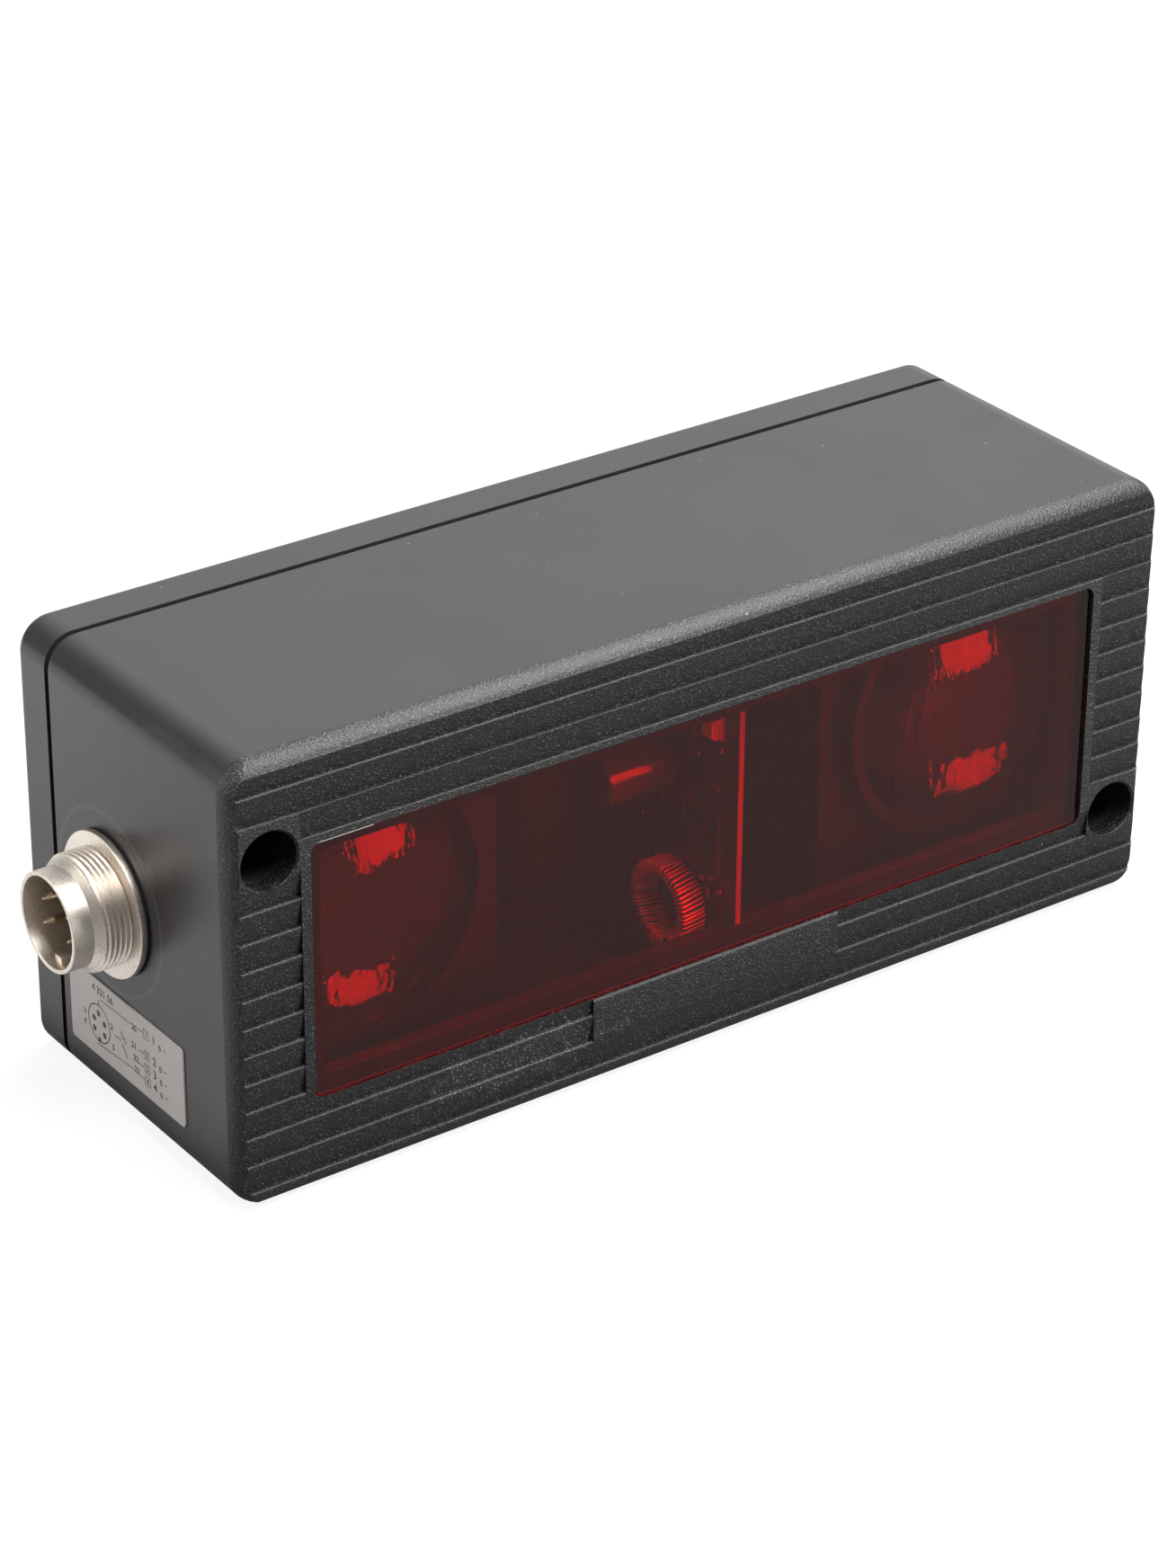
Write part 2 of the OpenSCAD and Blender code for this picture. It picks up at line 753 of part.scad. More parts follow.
// the turns of wire as one sleeve round the core, open over a short stretch, and its two ends
module toroid_winding() {
  gap_w = 2.2;
  end_r = 0.25;
  color([0.75, 0.42, 0.22]) on_board(coil_at[0], coil_at[1]) {
    translate([0, 0, coil_lift]) difference() {
      cylinder(d = coil_d, h = coil_w);
      translate([0, 0, -over]) cylinder(r = core_r[0] - 0.5, h = coil_w + 2 * over);
      translate([0, 0, (coil_w - core_w) / 2 - snug]) difference() {
        cylinder(r = core_r[1] + snug, h = core_w + 2 * snug);
        translate([0, 0, -over]) cylinder(r = core_r[0] - snug, h = core_w + 2 * over);
      }
      rotate([0, 0, 205]) translate([0, -gap_w / 2, -over]) cube([coil_d, gap_w, coil_w + 2 * over]);
    }
    for (a = [185, 225]) {
      rotate([0, 0, a]) translate([core_r[1], 0, 0]) cylinder(r = end_r, h = coil_lift + 0.2);
    }
  }
}

cap_at = [17, 3.4];         // depth and height of the capacitor's axis
cap_lift = 2.4;             // gap between the capacitor and the board

module capacitor() {
  color([0.16, 0.15, 0.2]) on_board(cap_at[0], cap_at[1]) translate([0, 0, cap_lift]) rotate_extrude() polygon([
    [0, 0],
    [cap_d / 2 - 0.3, 0],
    [cap_d / 2, 0.3],
    [cap_d / 2, 1.1],
    [cap_d / 2 - 0.35, 1.5],
    [cap_d / 2, 1.9],
    [cap_d / 2, cap_l - 0.4],
    [cap_d / 2 - 0.4, cap_l],
    [0, cap_l]
  ]);
}

module capacitor_leads() {
  color(steel) on_board(cap_at[0], cap_at[1]) for (s = [-1, 1]) {
    translate([0, s * 1.75, 0]) cylinder(r = 0.3, h = cap_lift);
  }
}

driver_top = -4.2;          // upper edge of the driver
driver_y = 5.6;             // depth of its first lead

module driver_module() {
  size = [1.6, 3 * lead_pitch + 0.8, 5.4];
  color([0.08, 0.08, 0.085]) placed() translate([board_x - size[0], driver_y - 0.4, driver_top - size[2]])
    cube(size);
}

module driver_leads() {
  lead = 0.5;
  reach = 3.6;
  stand_off = 1.1;
  color(steel) placed() for (i = [0 : 3]) {
    translate([board_x - stand_off, driver_y + i * lead_pitch - lead / 2, driver_top]) {
      cube([lead / 2, lead, reach]);
      translate([0, 0, reach - lead / 2]) cube([stand_off, lead, lead / 2]);
    }
  }
}

module crystal_can() {
  can = [1.8, 3.1, 3.5];
  can_at = [5.9, 10.3];     // depth and height of its lower front corner
  color(steel) placed() translate([board_x - can[0], can_at[0], can_at[1]]) {
    translate([0.3, 0.3, 0.3]) cube([can[0] - 0.3, can[1] - 0.6, can[2] - 0.6]);
    translate([0, 0.5, 0.5]) cube([can[0], can[1] - 1, can[2] - 1]);
    translate([can[0] - 0.4, 0, 0]) cube([0.4, can[1], can[2]]);
  }
}

module logic_chip() {
  chip = [1.5, 9.9, 3.9];
  chip_at = [24, 12];
  leg = [0.8, 0.4, 1];
  color([0.07, 0.07, 0.075]) placed() translate([board_x - chip[0], chip_at[0], chip_at[1]]) {
    cube(chip);
    for (i = [0 : 6], s = [0, 1]) {
      translate([chip[0] - leg[0], 0.75 + i * 1.27, s * (chip[2] + leg[2]) - leg[2]]) cube(leg);
    }
  }
}

module output_relay() {
  relay = [12, 20, 10];
  relay_at = [18, -6];
  color([0.15, 0.15, 0.16]) placed() translate([board_x + board_t, relay_at[0], relay_at[1]]) cube(relay);
}

housing();
front_bezel();
filter_window();
window_seal();
rear_cover();
rear_seal();
cover_screws();
connector_shell();
connector_gasket();
connector_nut();
connector_insert();
connector_pins();
connector_wires();
wire_header();
wiring_label();
emitter_lens();
receiver_lens();
emitter_barrel();
receiver_barrel();
barrel_screws();
emitter_diode();
receiver_diode();
emitter_board();
receiver_board();
main_board();
toroid_core();
toroid_winding();
capacitor();
capacitor_leads();
driver_module();
driver_leads();
crystal_can();
logic_chip();
output_relay();
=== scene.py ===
"""Looks of a diffuse photoelectric sensor, built round its CAD frame.

A flat black box with a slatted front frame, a dark red filter window and a threaded round
connector on its left end. The frame holds the housing and the inner works. This script softens
the edges of the front frame and of the window, and adds the connector's real thread, the turns
of the ring coil, small parts on the board, the printing on the wiring label, and a procedural
material for each piece.
"""

import math
import random

import bmesh
import bpy
from mathutils import Matrix, Vector


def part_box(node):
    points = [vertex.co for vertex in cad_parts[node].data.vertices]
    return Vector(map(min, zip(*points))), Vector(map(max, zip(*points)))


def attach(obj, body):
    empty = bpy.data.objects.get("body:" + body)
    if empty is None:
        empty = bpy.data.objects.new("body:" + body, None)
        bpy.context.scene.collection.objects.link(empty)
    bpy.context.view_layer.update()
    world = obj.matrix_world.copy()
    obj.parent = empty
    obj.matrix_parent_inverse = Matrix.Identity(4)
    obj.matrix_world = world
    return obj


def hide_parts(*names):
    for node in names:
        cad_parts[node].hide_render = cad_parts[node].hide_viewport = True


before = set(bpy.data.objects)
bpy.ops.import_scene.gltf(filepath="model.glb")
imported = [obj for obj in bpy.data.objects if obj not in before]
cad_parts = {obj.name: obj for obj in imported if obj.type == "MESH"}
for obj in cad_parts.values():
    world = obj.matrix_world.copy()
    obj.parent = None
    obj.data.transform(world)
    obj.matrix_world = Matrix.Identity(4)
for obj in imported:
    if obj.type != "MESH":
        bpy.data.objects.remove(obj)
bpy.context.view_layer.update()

bl_info = {
    "name": "Photoelectric sensor",
    "version": (1, 0, 0),
    "blender": (4, 5, 0),
    "location": "View3D > Sidebar > Sensor",
    "description": "Edges, connector thread, coil turns, label print, materials and stage of the sensor",
    "category": "Object",
}

MM = 0.001
MERGE = 1e-6  # points nearer to each other than this become one
BODY_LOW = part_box("housing")[0]
PLUG_LOW, PLUG_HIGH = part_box("connector_shell")
CORE_LOW, CORE_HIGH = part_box("toroid_core")
LABEL_LOW, LABEL_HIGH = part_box("wiring_label")
BOARD_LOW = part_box("main_board")[0]
FRONT_LOW, FRONT_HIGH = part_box("front_bezel")


def halfway(low, high):
    """The point halfway between two corners."""
    return (Vector(low) + Vector(high)) / 2


MIDDLE = halfway(FRONT_LOW, FRONT_HIGH)
PLUG_MIDDLE = halfway(PLUG_LOW, PLUG_HIGH)


# Settings


def length(name, description, default):
    """A setting that is a length."""
    return bpy.props.FloatProperty(name=name, description=description, default=default, unit="LENGTH")


def angle(name, description, degrees):
    """A setting that is an angle."""
    return bpy.props.FloatProperty(
        name=name, description=description, default=math.radians(degrees), subtype="ANGLE")


def power(name, description, default):
    """A setting that is the power of a lamp."""
    return bpy.props.FloatProperty(name=name, description=description, default=default, unit="POWER")


def colour(name, description, default):
    """A setting that is a colour."""
    return bpy.props.FloatVectorProperty(
        name=name, description=description, default=default, subtype="COLOR")


class SensorFrame(bpy.types.PropertyGroup):
    """Edges of the front frame and its window."""

    step_edge: length("Step edge", "Rounding of the front edge of each step", 0.3 * MM)
    window_edge: length("Window edge", "Broken edge round the front of the filter window", 0.16 * MM)
    # reach of the glint painted pale along the window's top edge
    glint_length: length("Painted glint length", "Reach of the painted white glint along the window's top edge", 9.5 * MM)


class SensorPlug(bpy.types.PropertyGroup):
    """Sizes of the connector's turned shell."""

    pitch: length("Thread pitch", "Distance from crest to crest", 0.75 * MM)
    depth: length("Thread depth", "Height of a crest above the root", 0.46 * MM)
    edge: length("Edge radius", "Rounding of the turned edges", 0.1 * MM)
    steps: bpy.props.IntProperty(name="Steps", description="Steps round one turn", default=96, min=24)


class SensorCoil(bpy.types.PropertyGroup):
    """Sizes of the ring coil's winding."""

    turns: bpy.props.IntProperty(name="Turns", description="Turns of wire on the ring", default=58, min=8)
    wire: length("Wire diameter", "Diameter of the lacquered wire", 0.34 * MM)
    core_wall: length("Core wall", "Thickness of the ring core's wall", 1.1 * MM)
    gap: angle("Gap", "Stretch of the ring with no turns", 16)
    lean: angle("Lean", "How far each turn leans", 8)


class SensorColours(bpy.types.PropertyGroup):
    """Colours of the outer pieces."""

    body: colour("Body", "Smooth plastic of body and rear cover", (0.0198, 0.019, 0.0222))
    grained: colour("Front frame", "Grained plastic of the front frame", (0.005, 0.005, 0.0055))
    filter: colour("Filter", "Tint of the filter window", (0.92, 0.011, 0.008))
    nickel: colour("Nickel", "Plating of the connector", (0.80, 0.735, 0.66))
    grime: colour("Grime", "Brown dirt in the metal's hollows", (0.16, 0.12, 0.09))
    label: colour("Label", "Grey film of the wiring label", (0.5, 0.47, 0.465))
    print: colour("Print", "Ink on the wiring label", (0.025, 0.023, 0.025))


class SensorStage(bpy.types.PropertyGroup):
    """Camera and light."""

    camera_at: bpy.props.FloatVectorProperty(
        name="Camera", description="Place of the camera",
        default=(-0.32536, -0.44575, 0.32495), subtype="TRANSLATION")
    azimuth: angle("Azimuth", "Turn of the camera round the object", -35.872)
    elevation: angle("Elevation", "Height of the camera above the horizon", 28.295)
    roll: angle("Roll", "Tilt of the camera about its axis", 0.457)
    lens: bpy.props.FloatProperty(
        name="Lens", description="Focal length on a 36 mm high picture", default=105.89, unit="CAMERA")
    softbox: power("Softbox", "Power of the lamp straight overhead", 6.0)
    top_lamp: power("Top lamp", "Power of the lamp overhead on the right", 7.6)
    front_lamp: power("Front lamp", "Power of the lamp low in front on the right", 6.0)
    side_lamp: power("Side lamp", "Power of the lamp on the left", 2.1)
    sky: bpy.props.FloatProperty(
        name="Surroundings", description="Strength of the room light away from the bright side", default=0.2)


GROUPS = (
    ("sensor_frame", SensorFrame),
    ("sensor_plug", SensorPlug),
    ("sensor_coil", SensorCoil),
    ("sensor_colours", SensorColours),
    ("sensor_stage", SensorStage),
)


# Node trees


class Tree:
    """A node tree with short calls for adding nodes."""

    def __init__(self, tree):
        self.tree = tree

    def add(self, kind, values=None, **settings):
        """A new shader node. values go to its inputs and are constants or sockets of other nodes."""
        node = self.tree.nodes.new("ShaderNode" + kind)
        for name, value in settings.items():
            setattr(node, name, value)
        for name, value in (values or {}).items():
            self.set(node.inputs[name], value)
        return node

    def set(self, socket, value):
        """Links value if it is a socket, and else sets it as the constant."""
        if isinstance(value, bpy.types.NodeSocket):
            self.tree.links.new(value, socket)
        elif socket.type == "RGBA" and len(value) == 3:
            socket.default_value = (*value, 1.0)
        else:
            socket.default_value = value

    def math(self, operation, a, b=0.0, clamp=False):
        return self.add("Math", {0: a, 1: b}, operation=operation, use_clamp=clamp).outputs[0]

    def times(self, a, b):
        return self.math("MULTIPLY", a, b)

    def plus(self, a, b, clamp=False):
        return self.math("ADD", a, b, clamp)

    def minus(self, a, b):
        return self.math("SUBTRACT", a, b)

    def one_over(self, value):
        return self.math("DIVIDE", 1.0, value)

    def vector(self, operation, a, b=(0, 0, 0)):
        return self.add("VectorMath", {0: a, 1: b}, operation=operation)

    def spread(self, value, low, high, to_low=0.0, to_high=1.0):
        """value between low and high, spread smoothly over to_low and to_high."""
        values = {"Value": value, "From Min": low, "From Max": high, "To Min": to_low, "To Max": to_high}
        return self.add("MapRange", values, interpolation_type="SMOOTHSTEP").outputs["Result"]

    def mix(self, factor, a, b):
        """Two colours mixed."""
        node = self.add("Mix", data_type="RGBA")
        self.set(node.inputs[0], factor)
        self.set(node.inputs[6], a)
        self.set(node.inputs[7], b)
        return node.outputs[2]

    def noise(self, scale, detail=2.0, roughness=0.5, place=None):
        values = {"Vector": place or self.place(), "Scale": scale, "Detail": detail, "Roughness": roughness}
        return self.add("TexNoise", values).outputs["Fac"]

    def place(self):
        """Object coordinates, in metres."""
        return self.add("TexCoord").outputs["Object"]

    def parts_of(self, vector):
        """The outputs X, Y and Z of a vector."""
        return self.add("SeparateXYZ", {0: vector}).outputs


def new_group(name, inputs, outputs=("Mask",)):
    """A shader node group: its Tree and the sockets of its input and output nodes. inputs has defaults."""
    tree = bpy.data.node_groups.new(name, "ShaderNodeTree")
    for socket, default in inputs.items():
        kind = "NodeSocketVector" if isinstance(default, tuple) else "NodeSocketFloat"
        tree.interface.new_socket(socket, in_out="INPUT", socket_type=kind).default_value = default
    for socket in outputs:
        tree.interface.new_socket(socket, in_out="OUTPUT", socket_type="NodeSocketFloat")
    work = Tree(tree)
    return work, tree.nodes.new("NodeGroupInput").outputs, tree.nodes.new("NodeGroupOutput").inputs


def grain_group():
    """Moulded leather-like grain: a height and a mask of its high spots."""
    work, given, result = new_group("Moulded grain", {"Size": 0.3 * MM}, ("Height", "Crests"))
    scale = work.one_over(given["Size"])
    cells = work.add("TexVoronoi", {"Vector": work.place(), "Scale": scale}, feature="SMOOTH_F1")
    pebbles = work.minus(1.0, cells.outputs["Distance"])
    fine = work.noise(work.times(scale, 1.7), 3.0, 0.6)
    height = work.plus(work.times(pebbles, 0.6), work.times(fine, 0.6))
    work.set(result["Height"], height)
    work.set(result["Crests"], work.spread(height, 0.73, 0.86))
    return work.tree


def specks_group():
    """Scattered specks of dust, each in a cell of its own: a mask that is 1 on a speck."""
    inputs = {"Size": 1.5 * MM, "Share": 0.25, "Radius": 0.08}
    work, given, result = new_group("Dust specks", inputs)
    scale = work.one_over(given["Size"])
    cells = work.add("TexVoronoi", {"Vector": work.place(), "Scale": scale})
    pick = work.add("SeparateColor", {"Color": cells.outputs["Color"]})
    chosen = work.math("LESS_THAN", pick.outputs[0], given["Share"])
    radius = work.times(given["Radius"], work.plus(pick.outputs[1], 0.35))
    near = work.math("LESS_THAN", cells.outputs["Distance"], radius)
    work.set(result["Mask"], work.times(chosen, near))
    return work.tree


def smudge_group():
    """Broad soft patches, as of handling: a value from 0 to 1."""
    work, given, result = new_group("Smudges", {"Size": 25 * MM}, ("Value",))
    broad = work.noise(work.one_over(given["Size"]), 4.0, 0.62)
    work.set(result["Value"], work.spread(broad, 0.36, 0.64))
    return work.tree


def scratch_group():
    """Short fine scratches in one direction, forty times as long as wide, in patches: a mask."""
    inputs = {"Length": 7 * MM, "Turn": (0, 0, 0), "Share": 0.3}
    work, given, result = new_group("Fine scratches", inputs)
    along = work.one_over(given["Length"])
    across = work.times(along, 40.0)
    stretch = work.add("CombineXYZ", {0: along, 1: across, 2: across}).outputs[0]
    values = {"Vector": work.place(), "Rotation": given["Turn"], "Scale": stretch}
    place = work.add("Mapping", values).outputs[0]
    thin = work.spread(work.noise(1.0, 1.0, 0.4, place), 0.70, 0.76)
    patches = work.noise(work.times(along, 0.6))
    some = work.spread(patches, work.minus(0.72, work.times(given["Share"], 0.4)), 0.75)
    work.set(result["Mask"], work.times(thin, some))
    return work.tree


def spot_group():
    """A soft spot round a place: 1 in its middle, 0 outside its half sizes."""
    inputs = {"Middle": (0, 0, 0), "Half size": (1, 1, 1), "Ragged": 0.5, "Grain": 2 * MM}
    work, given, result = new_group("Soft spot", inputs)
    away = work.vector("SUBTRACT", work.place(), given["Middle"]).outputs[0]
    part = work.vector("DIVIDE", away, given["Half size"]).outputs[0]
    far = work.vector("LENGTH", part).outputs["Value"]
    rag = work.noise(work.one_over(given["Grain"]), 4.0, 0.65)
    rag = work.times(work.minus(rag, 0.5), work.times(given["Ragged"], 4.0))
    work.set(result["Mask"], work.spread(work.plus(far, rag), 1.0, 0.55))
    return work.tree


EFFECTS = {}


def make_effects():
    """Builds the shared effects once."""
    EFFECTS.update(
        grain=grain_group(), specks=specks_group(), smudges=smudge_group(),
        scratches=scratch_group(), spot=spot_group())


class Finish(Tree):
    """A material with a Principled shader, whose sockets are set by name."""

    def __init__(self, name, **sockets):
        self.material = bpy.data.materials.new(name)
        self.material.use_nodes = True
        super().__init__(self.material.node_tree)
        self.shader = self.tree.nodes["Principled BSDF"]
        self.output = self.tree.nodes["Material Output"]
        for socket, value in sockets.items():
            self.paint(socket.replace("_", " "), value)

    def paint(self, socket, value):
        self.set(self.shader.inputs[socket], value)

    def effect(self, name, values):
        """The outputs of a shared effect placed with its own values."""
        return self.add("Group", values, node_tree=EFFECTS[name]).outputs

    def smudges(self, size):
        return self.effect("smudges", {"Size": size})["Value"]

    def dusted(self, tone, size, share, radius, strength, dust):
        """tone with specks of the colour dust."""
        specks = self.effect("specks", {"Size": size, "Share": share, "Radius": radius})["Mask"]
        return self.mix(self.times(specks, strength), tone, dust)

    def spot(self, middle, half_size, ragged, grain):
        values = {"Middle": middle, "Half size": half_size, "Ragged": ragged, "Grain": grain}
        return self.effect("spot", values)["Mask"]

    def rough(self, least, value, share):
        """A roughness that grows with value."""
        self.paint("Roughness", self.plus(least, self.times(value, share)))

    def bump(self, height, distance, strength=1.0):
        values = {"Height": height, "Distance": distance, "Strength": strength}
        self.paint("Normal", self.add("Bump", values).outputs[0])

    def let_lamps_through(self, tint):
        """Rays from lamps pass the surface, tinted, so that they reach what is behind it."""
        clear = self.add("BsdfTransparent", {"Color": tint}).outputs[0]
        shadow_ray = self.add("LightPath").outputs["Is Shadow Ray"]
        both = self.add("MixShader", {0: shadow_ray, 1: self.shader.outputs[0], 2: clear})
        self.set(self.output.inputs["Surface"], both.outputs[0])


# Materials


def shade(tone, share):
    """The tone made darker or lighter by a factor."""
    return tuple(c * share for c in tone)


def body_finish(colours):
    """Smooth moulded plastic with dust, smudges, fine scratches and marks of use."""
    f = Finish("body_plastic")
    smudge = f.smudges(28 * MM)
    scratch = f.effect("scratches", {"Length": 9 * MM, "Turn": (0.3, 0.5, 0.9), "Share": 0.1})["Mask"]
    tone = f.mix(f.times(smudge, 0.35), colours.body, shade(colours.body, 1.22))
    tone = f.dusted(tone, 2.4 * MM, 0.16, 0.045, 0.5, (0.34, 0.33, 0.32))
    tone = f.mix(f.times(scratch, 0.25), tone, (0.22, 0.22, 0.22))
    f.paint("Base Color", left_end_marks(f, tone))
    f.rough(0.25, smudge, 0.08)
    f.bump(f.noise(5200.0), 0.006 * MM, 0.5)
    return f.material


def left_end_marks(f, tone):
    """tone with a thin pale ring round the connector, dust round the connector and a small dark chip under
    the label.
    """
    ring_r, ring_half = 0.64 * (PLUG_HIGH[1] - PLUG_LOW[1]), 0.5 * MM
    dust_near, dust_far = 8 * MM, 18 * MM
    chip_at, chip_half = (BODY_LOW[0], -0.6 * MM, 6.5 * MM), (1 * MM, 0.7 * MM, 0.42 * MM)
    around = f.parts_of(f.vector("SUBTRACT", f.place(), tuple(PLUG_MIDDLE)).outputs[0])
    left = f.math("LESS_THAN", around["X"], BODY_LOW[0] - PLUG_MIDDLE.x + 0.1 * MM)
    far = f.math("SQRT", f.plus(f.math("POWER", around["Y"], 2.0), f.math("POWER", around["Z"], 2.0)))
    ring = f.spread(f.math("ABSOLUTE", f.minus(far, ring_r)), 0.0, ring_half, 0.22, 0.0)
    tone = f.mix(f.times(ring, left), tone, (0.16, 0.155, 0.15))
    near = f.times(f.spread(far, dust_near, dust_far, 0.75, 0.0), left)
    tone = f.dusted(tone, 0.8 * MM, 0.3, 0.07, near, (0.36, 0.33, 0.3))
    return f.mix(f.spot(chip_at, chip_half, 0.15, 0.6 * MM), tone, (0.002, 0.002, 0.002))


def grained_finish(colours):
    """Grained black moulding, rubbed pale on its lower rail."""
    rail, rail_half = (-34.5 * MM, FRONT_LOW[1], 8.5 * MM), (18 * MM, 3 * MM, 4.5 * MM)
    f = Finish("grained_plastic")
    grain = f.effect("grain", {"Size": 0.34 * MM})
    crests = grain["Crests"]
    tone = f.mix(crests, colours.grained, (0.075, 0.075, 0.08))
    rub = f.spot(rail, rail_half, 0.9, 3.2 * MM)
    tone = f.mix(f.times(rub, f.spread(crests, 0.1, 0.7, 0.04, 0.7)), tone, (0.21, 0.205, 0.21))
    f.paint("Base Color", f.dusted(tone, 1.3 * MM, 0.12, 0.09, 0.55, (0.33, 0.32, 0.32)))
    f.paint("Roughness", f.spread(crests, 0.0, 1.0, 0.42, 0.3))
    f.bump(grain["Height"], 0.14 * MM)
    return f.material


def filter_finish(colours):
    """Dark red clear sheet, with a trace of dust."""
    tint = colours.filter
    f = Finish("red_filter", Roughness=0.02, IOR=1.49, Transmission_Weight=1.0)
    tone = f.mix(f.times(f.smudges(30 * MM), 0.12), tint, shade(tint, 0.8))
    f.paint("Base Color", f.dusted(tone, 3.5 * MM, 0.12, 0.03, 0.4, (0.7, 0.3, 0.28)))
    f.let_lamps_through(tint)
    return f.material


def lens_finish():
    """Clear polished lens with slightly wavy faces."""
    f = Finish("lens_clear", Roughness=0.0, IOR=1.49, Transmission_Weight=1.0)
    f.paint("Base Color", f.mix(f.smudges(12 * MM), (0.93, 0.95, 0.96), (0.88, 0.9, 0.92)))
    stretch = {"Vector": f.place(), "Scale": (420.0, 420.0, 110.0), "Rotation": (0.0, 0.5, 0.0)}
    waves = f.add("Mapping", stretch).outputs[0]
    f.bump(f.noise(1.0, 3.0, 0.6, waves), 0.16 * MM)
    f.let_lamps_through((0.9, 0.92, 0.93))
    return f.material


def nickel_finish(colours, name="nickel"):
    """Dull nickel plating, mottled, with brown grime in its pits."""
    f = Finish(name, Metallic=1.0)
    mottle = f.noise(2600.0, 5.0, 0.7)
    broad = f.smudges(7 * MM)
    pits = f.spread(mottle, 0.52, 0.7)
    grime = f.times(pits, f.plus(0.35, f.times(broad, 0.5)))
    tone = f.mix(grime, colours.nickel, colours.grime)
    f.paint("Base Color", f.mix(f.times(broad, 0.22), tone, shade(colours.nickel, 0.72)))
    f.rough(0.26, mottle, 0.26)
    f.bump(mottle, 0.03 * MM, 0.8)
    return f.material


def plain_finish(name, tone, roughness, speckle=0.25, size=0.6 * MM, **sockets):
    """A plain material with a fine irregular tone and roughness."""
    f = Finish(name, **sockets)
    cloud = f.noise(1.0 / size, 4.0, 0.6)
    f.paint("Base Color", f.mix(f.spread(cloud, 0.3, 0.7, 0.0, speckle), tone, shade(tone, 0.45)))
    f.rough(roughness - 0.05, cloud, 0.1)
    f.bump(cloud, 0.01 * MM, 0.4)
    return f.material


def board_finish():
    """Green lacquered laminate with faint tracks, pale where its edge is cut."""
    f = Finish("board_laminate")
    place = f.place()
    lacquer = f.mix(f.noise(900.0, 3.0, 0.55), (0.012, 0.06, 0.022), (0.03, 0.12, 0.05))
    tracks = f.add("TexBrick", {"Vector": place, "Scale": 260.0, "Mortar Size": 0.02}).outputs["Fac"]
    tone = f.mix(f.times(tracks, 0.2), lacquer, (0.06, 0.18, 0.07))
    edge = f.math("LESS_THAN", f.parts_of(place)["Y"], BOARD_LOW[1] + 0.1 * MM)
    weave = f.noise(2500.0)
    cut = f.mix(weave, (0.22, 0.2, 0.13), (0.12, 0.11, 0.07))
    f.paint("Base Color", f.mix(edge, tone, cut))
    f.rough(0.34, edge, 0.3)
    f.bump(weave, 0.02 * MM, 0.5)
    return f.material


def label_finish(colours):
    """Matt printed film with dust and rubbed spots."""
    f = Finish("label_grey")
    cloud = f.smudges(6 * MM)
    tone = f.mix(f.times(cloud, 0.35), colours.label, shade(colours.label, 0.86))
    f.paint("Base Color", f.dusted(tone, 1.6 * MM, 0.12, 0.06, 0.5, (0.09, 0.085, 0.085)))
    f.rough(0.34, cloud, 0.08)
    f.bump(f.noise(4000.0), 0.004 * MM, 0.5)
    return f.material


# Mesh helpers


def to_mesh(bm, name):
    """A mesh made from bm, which is then freed."""
    mesh = bpy.data.meshes.new(name)
    bm.to_mesh(mesh)
    bm.free()
    return mesh


def take_in(bm, mesh):
    """Moves a mesh into bm."""
    bm.from_mesh(mesh)
    bpy.data.meshes.remove(mesh)


def add_object(name, data):
    """A new object in the scene."""
    made = bpy.data.objects.new(name, data)
    bpy.context.scene.collection.objects.link(made)
    return made


def cad_copy(node):
    """A copy of a CAD node's mesh, merged, with one face for each flat side."""
    bm = bmesh.new()
    bm.from_mesh(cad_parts[node].data)
    bmesh.ops.remove_doubles(bm, verts=bm.verts, dist=MERGE)
    bmesh.ops.dissolve_limit(bm, angle_limit=math.radians(0.5), verts=bm.verts, edges=bm.edges)
    bmesh.ops.recalc_face_normals(bm, faces=bm.faces)
    return bm


def whole(bm):
    """All that bm holds, in one list for the operators."""
    return bm.verts[:] + bm.edges[:] + bm.faces[:]


def verts_of(geom):
    return [item for item in geom if isinstance(item, bmesh.types.BMVert)]


def edges_of(geom):
    return [item for item in geom if isinstance(item, bmesh.types.BMEdge)]


def edges_at(verts):
    """The edges that meet at the vertices."""
    return list({edge for vert in verts for edge in vert.link_edges})


def round_edges(bm, edges, radius, segments, clamp=False):
    """Rounds the edges: what the operator gives back."""
    return bmesh.ops.bevel(
        bm, geom=edges, offset=radius, segments=segments, profile=0.5, affect="EDGES", material=-1,
        clamp_overlap=clamp)


def add_chain(bm, points, closed=False):
    """Vertices at the points, joined by edges: both in one list for the operators."""
    verts = [bm.verts.new(p) for p in points]
    pairs = list(zip(verts, verts[1:])) + ([(verts[-1], verts[0])] if closed else [])
    return verts + [bm.edges.new(pair) for pair in pairs]


def full_spin(bm, chain, centre, axis, steps):
    """Turns the chain once round."""
    bmesh.ops.spin(bm, geom=chain, cent=centre, axis=axis, angle=math.tau, steps=steps, use_merge=True)


def add_block(bm, low, high, edge):
    """A block between two corners, with rounded edges."""
    low, high = Vector(low), Vector(high)
    matrix = Matrix.Translation((low + high) / 2) @ Matrix.Diagonal((*(high - low), 1.0))
    made = bmesh.ops.create_cube(bm, size=1.0, matrix=matrix)["verts"]
    round_edges(bm, edges_at(made), edge, 2)


def finished(bm, name, material, degrees=40, crisp=()):
    """The piece made from bm, riding on the body. Crisp edges and those over so many degrees stay sharp."""
    for edge in bm.edges:
        flat = len(edge.link_faces) == 2 and edge.calc_face_angle(0.0) < math.radians(degrees)
        edge.smooth = flat and edge not in crisp
    for face in bm.faces:
        face.smooth = True
    piece = add_object(name, to_mesh(bm, name))
    piece.data.materials.append(material)
    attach(piece, "root")
    return piece


# Pieces


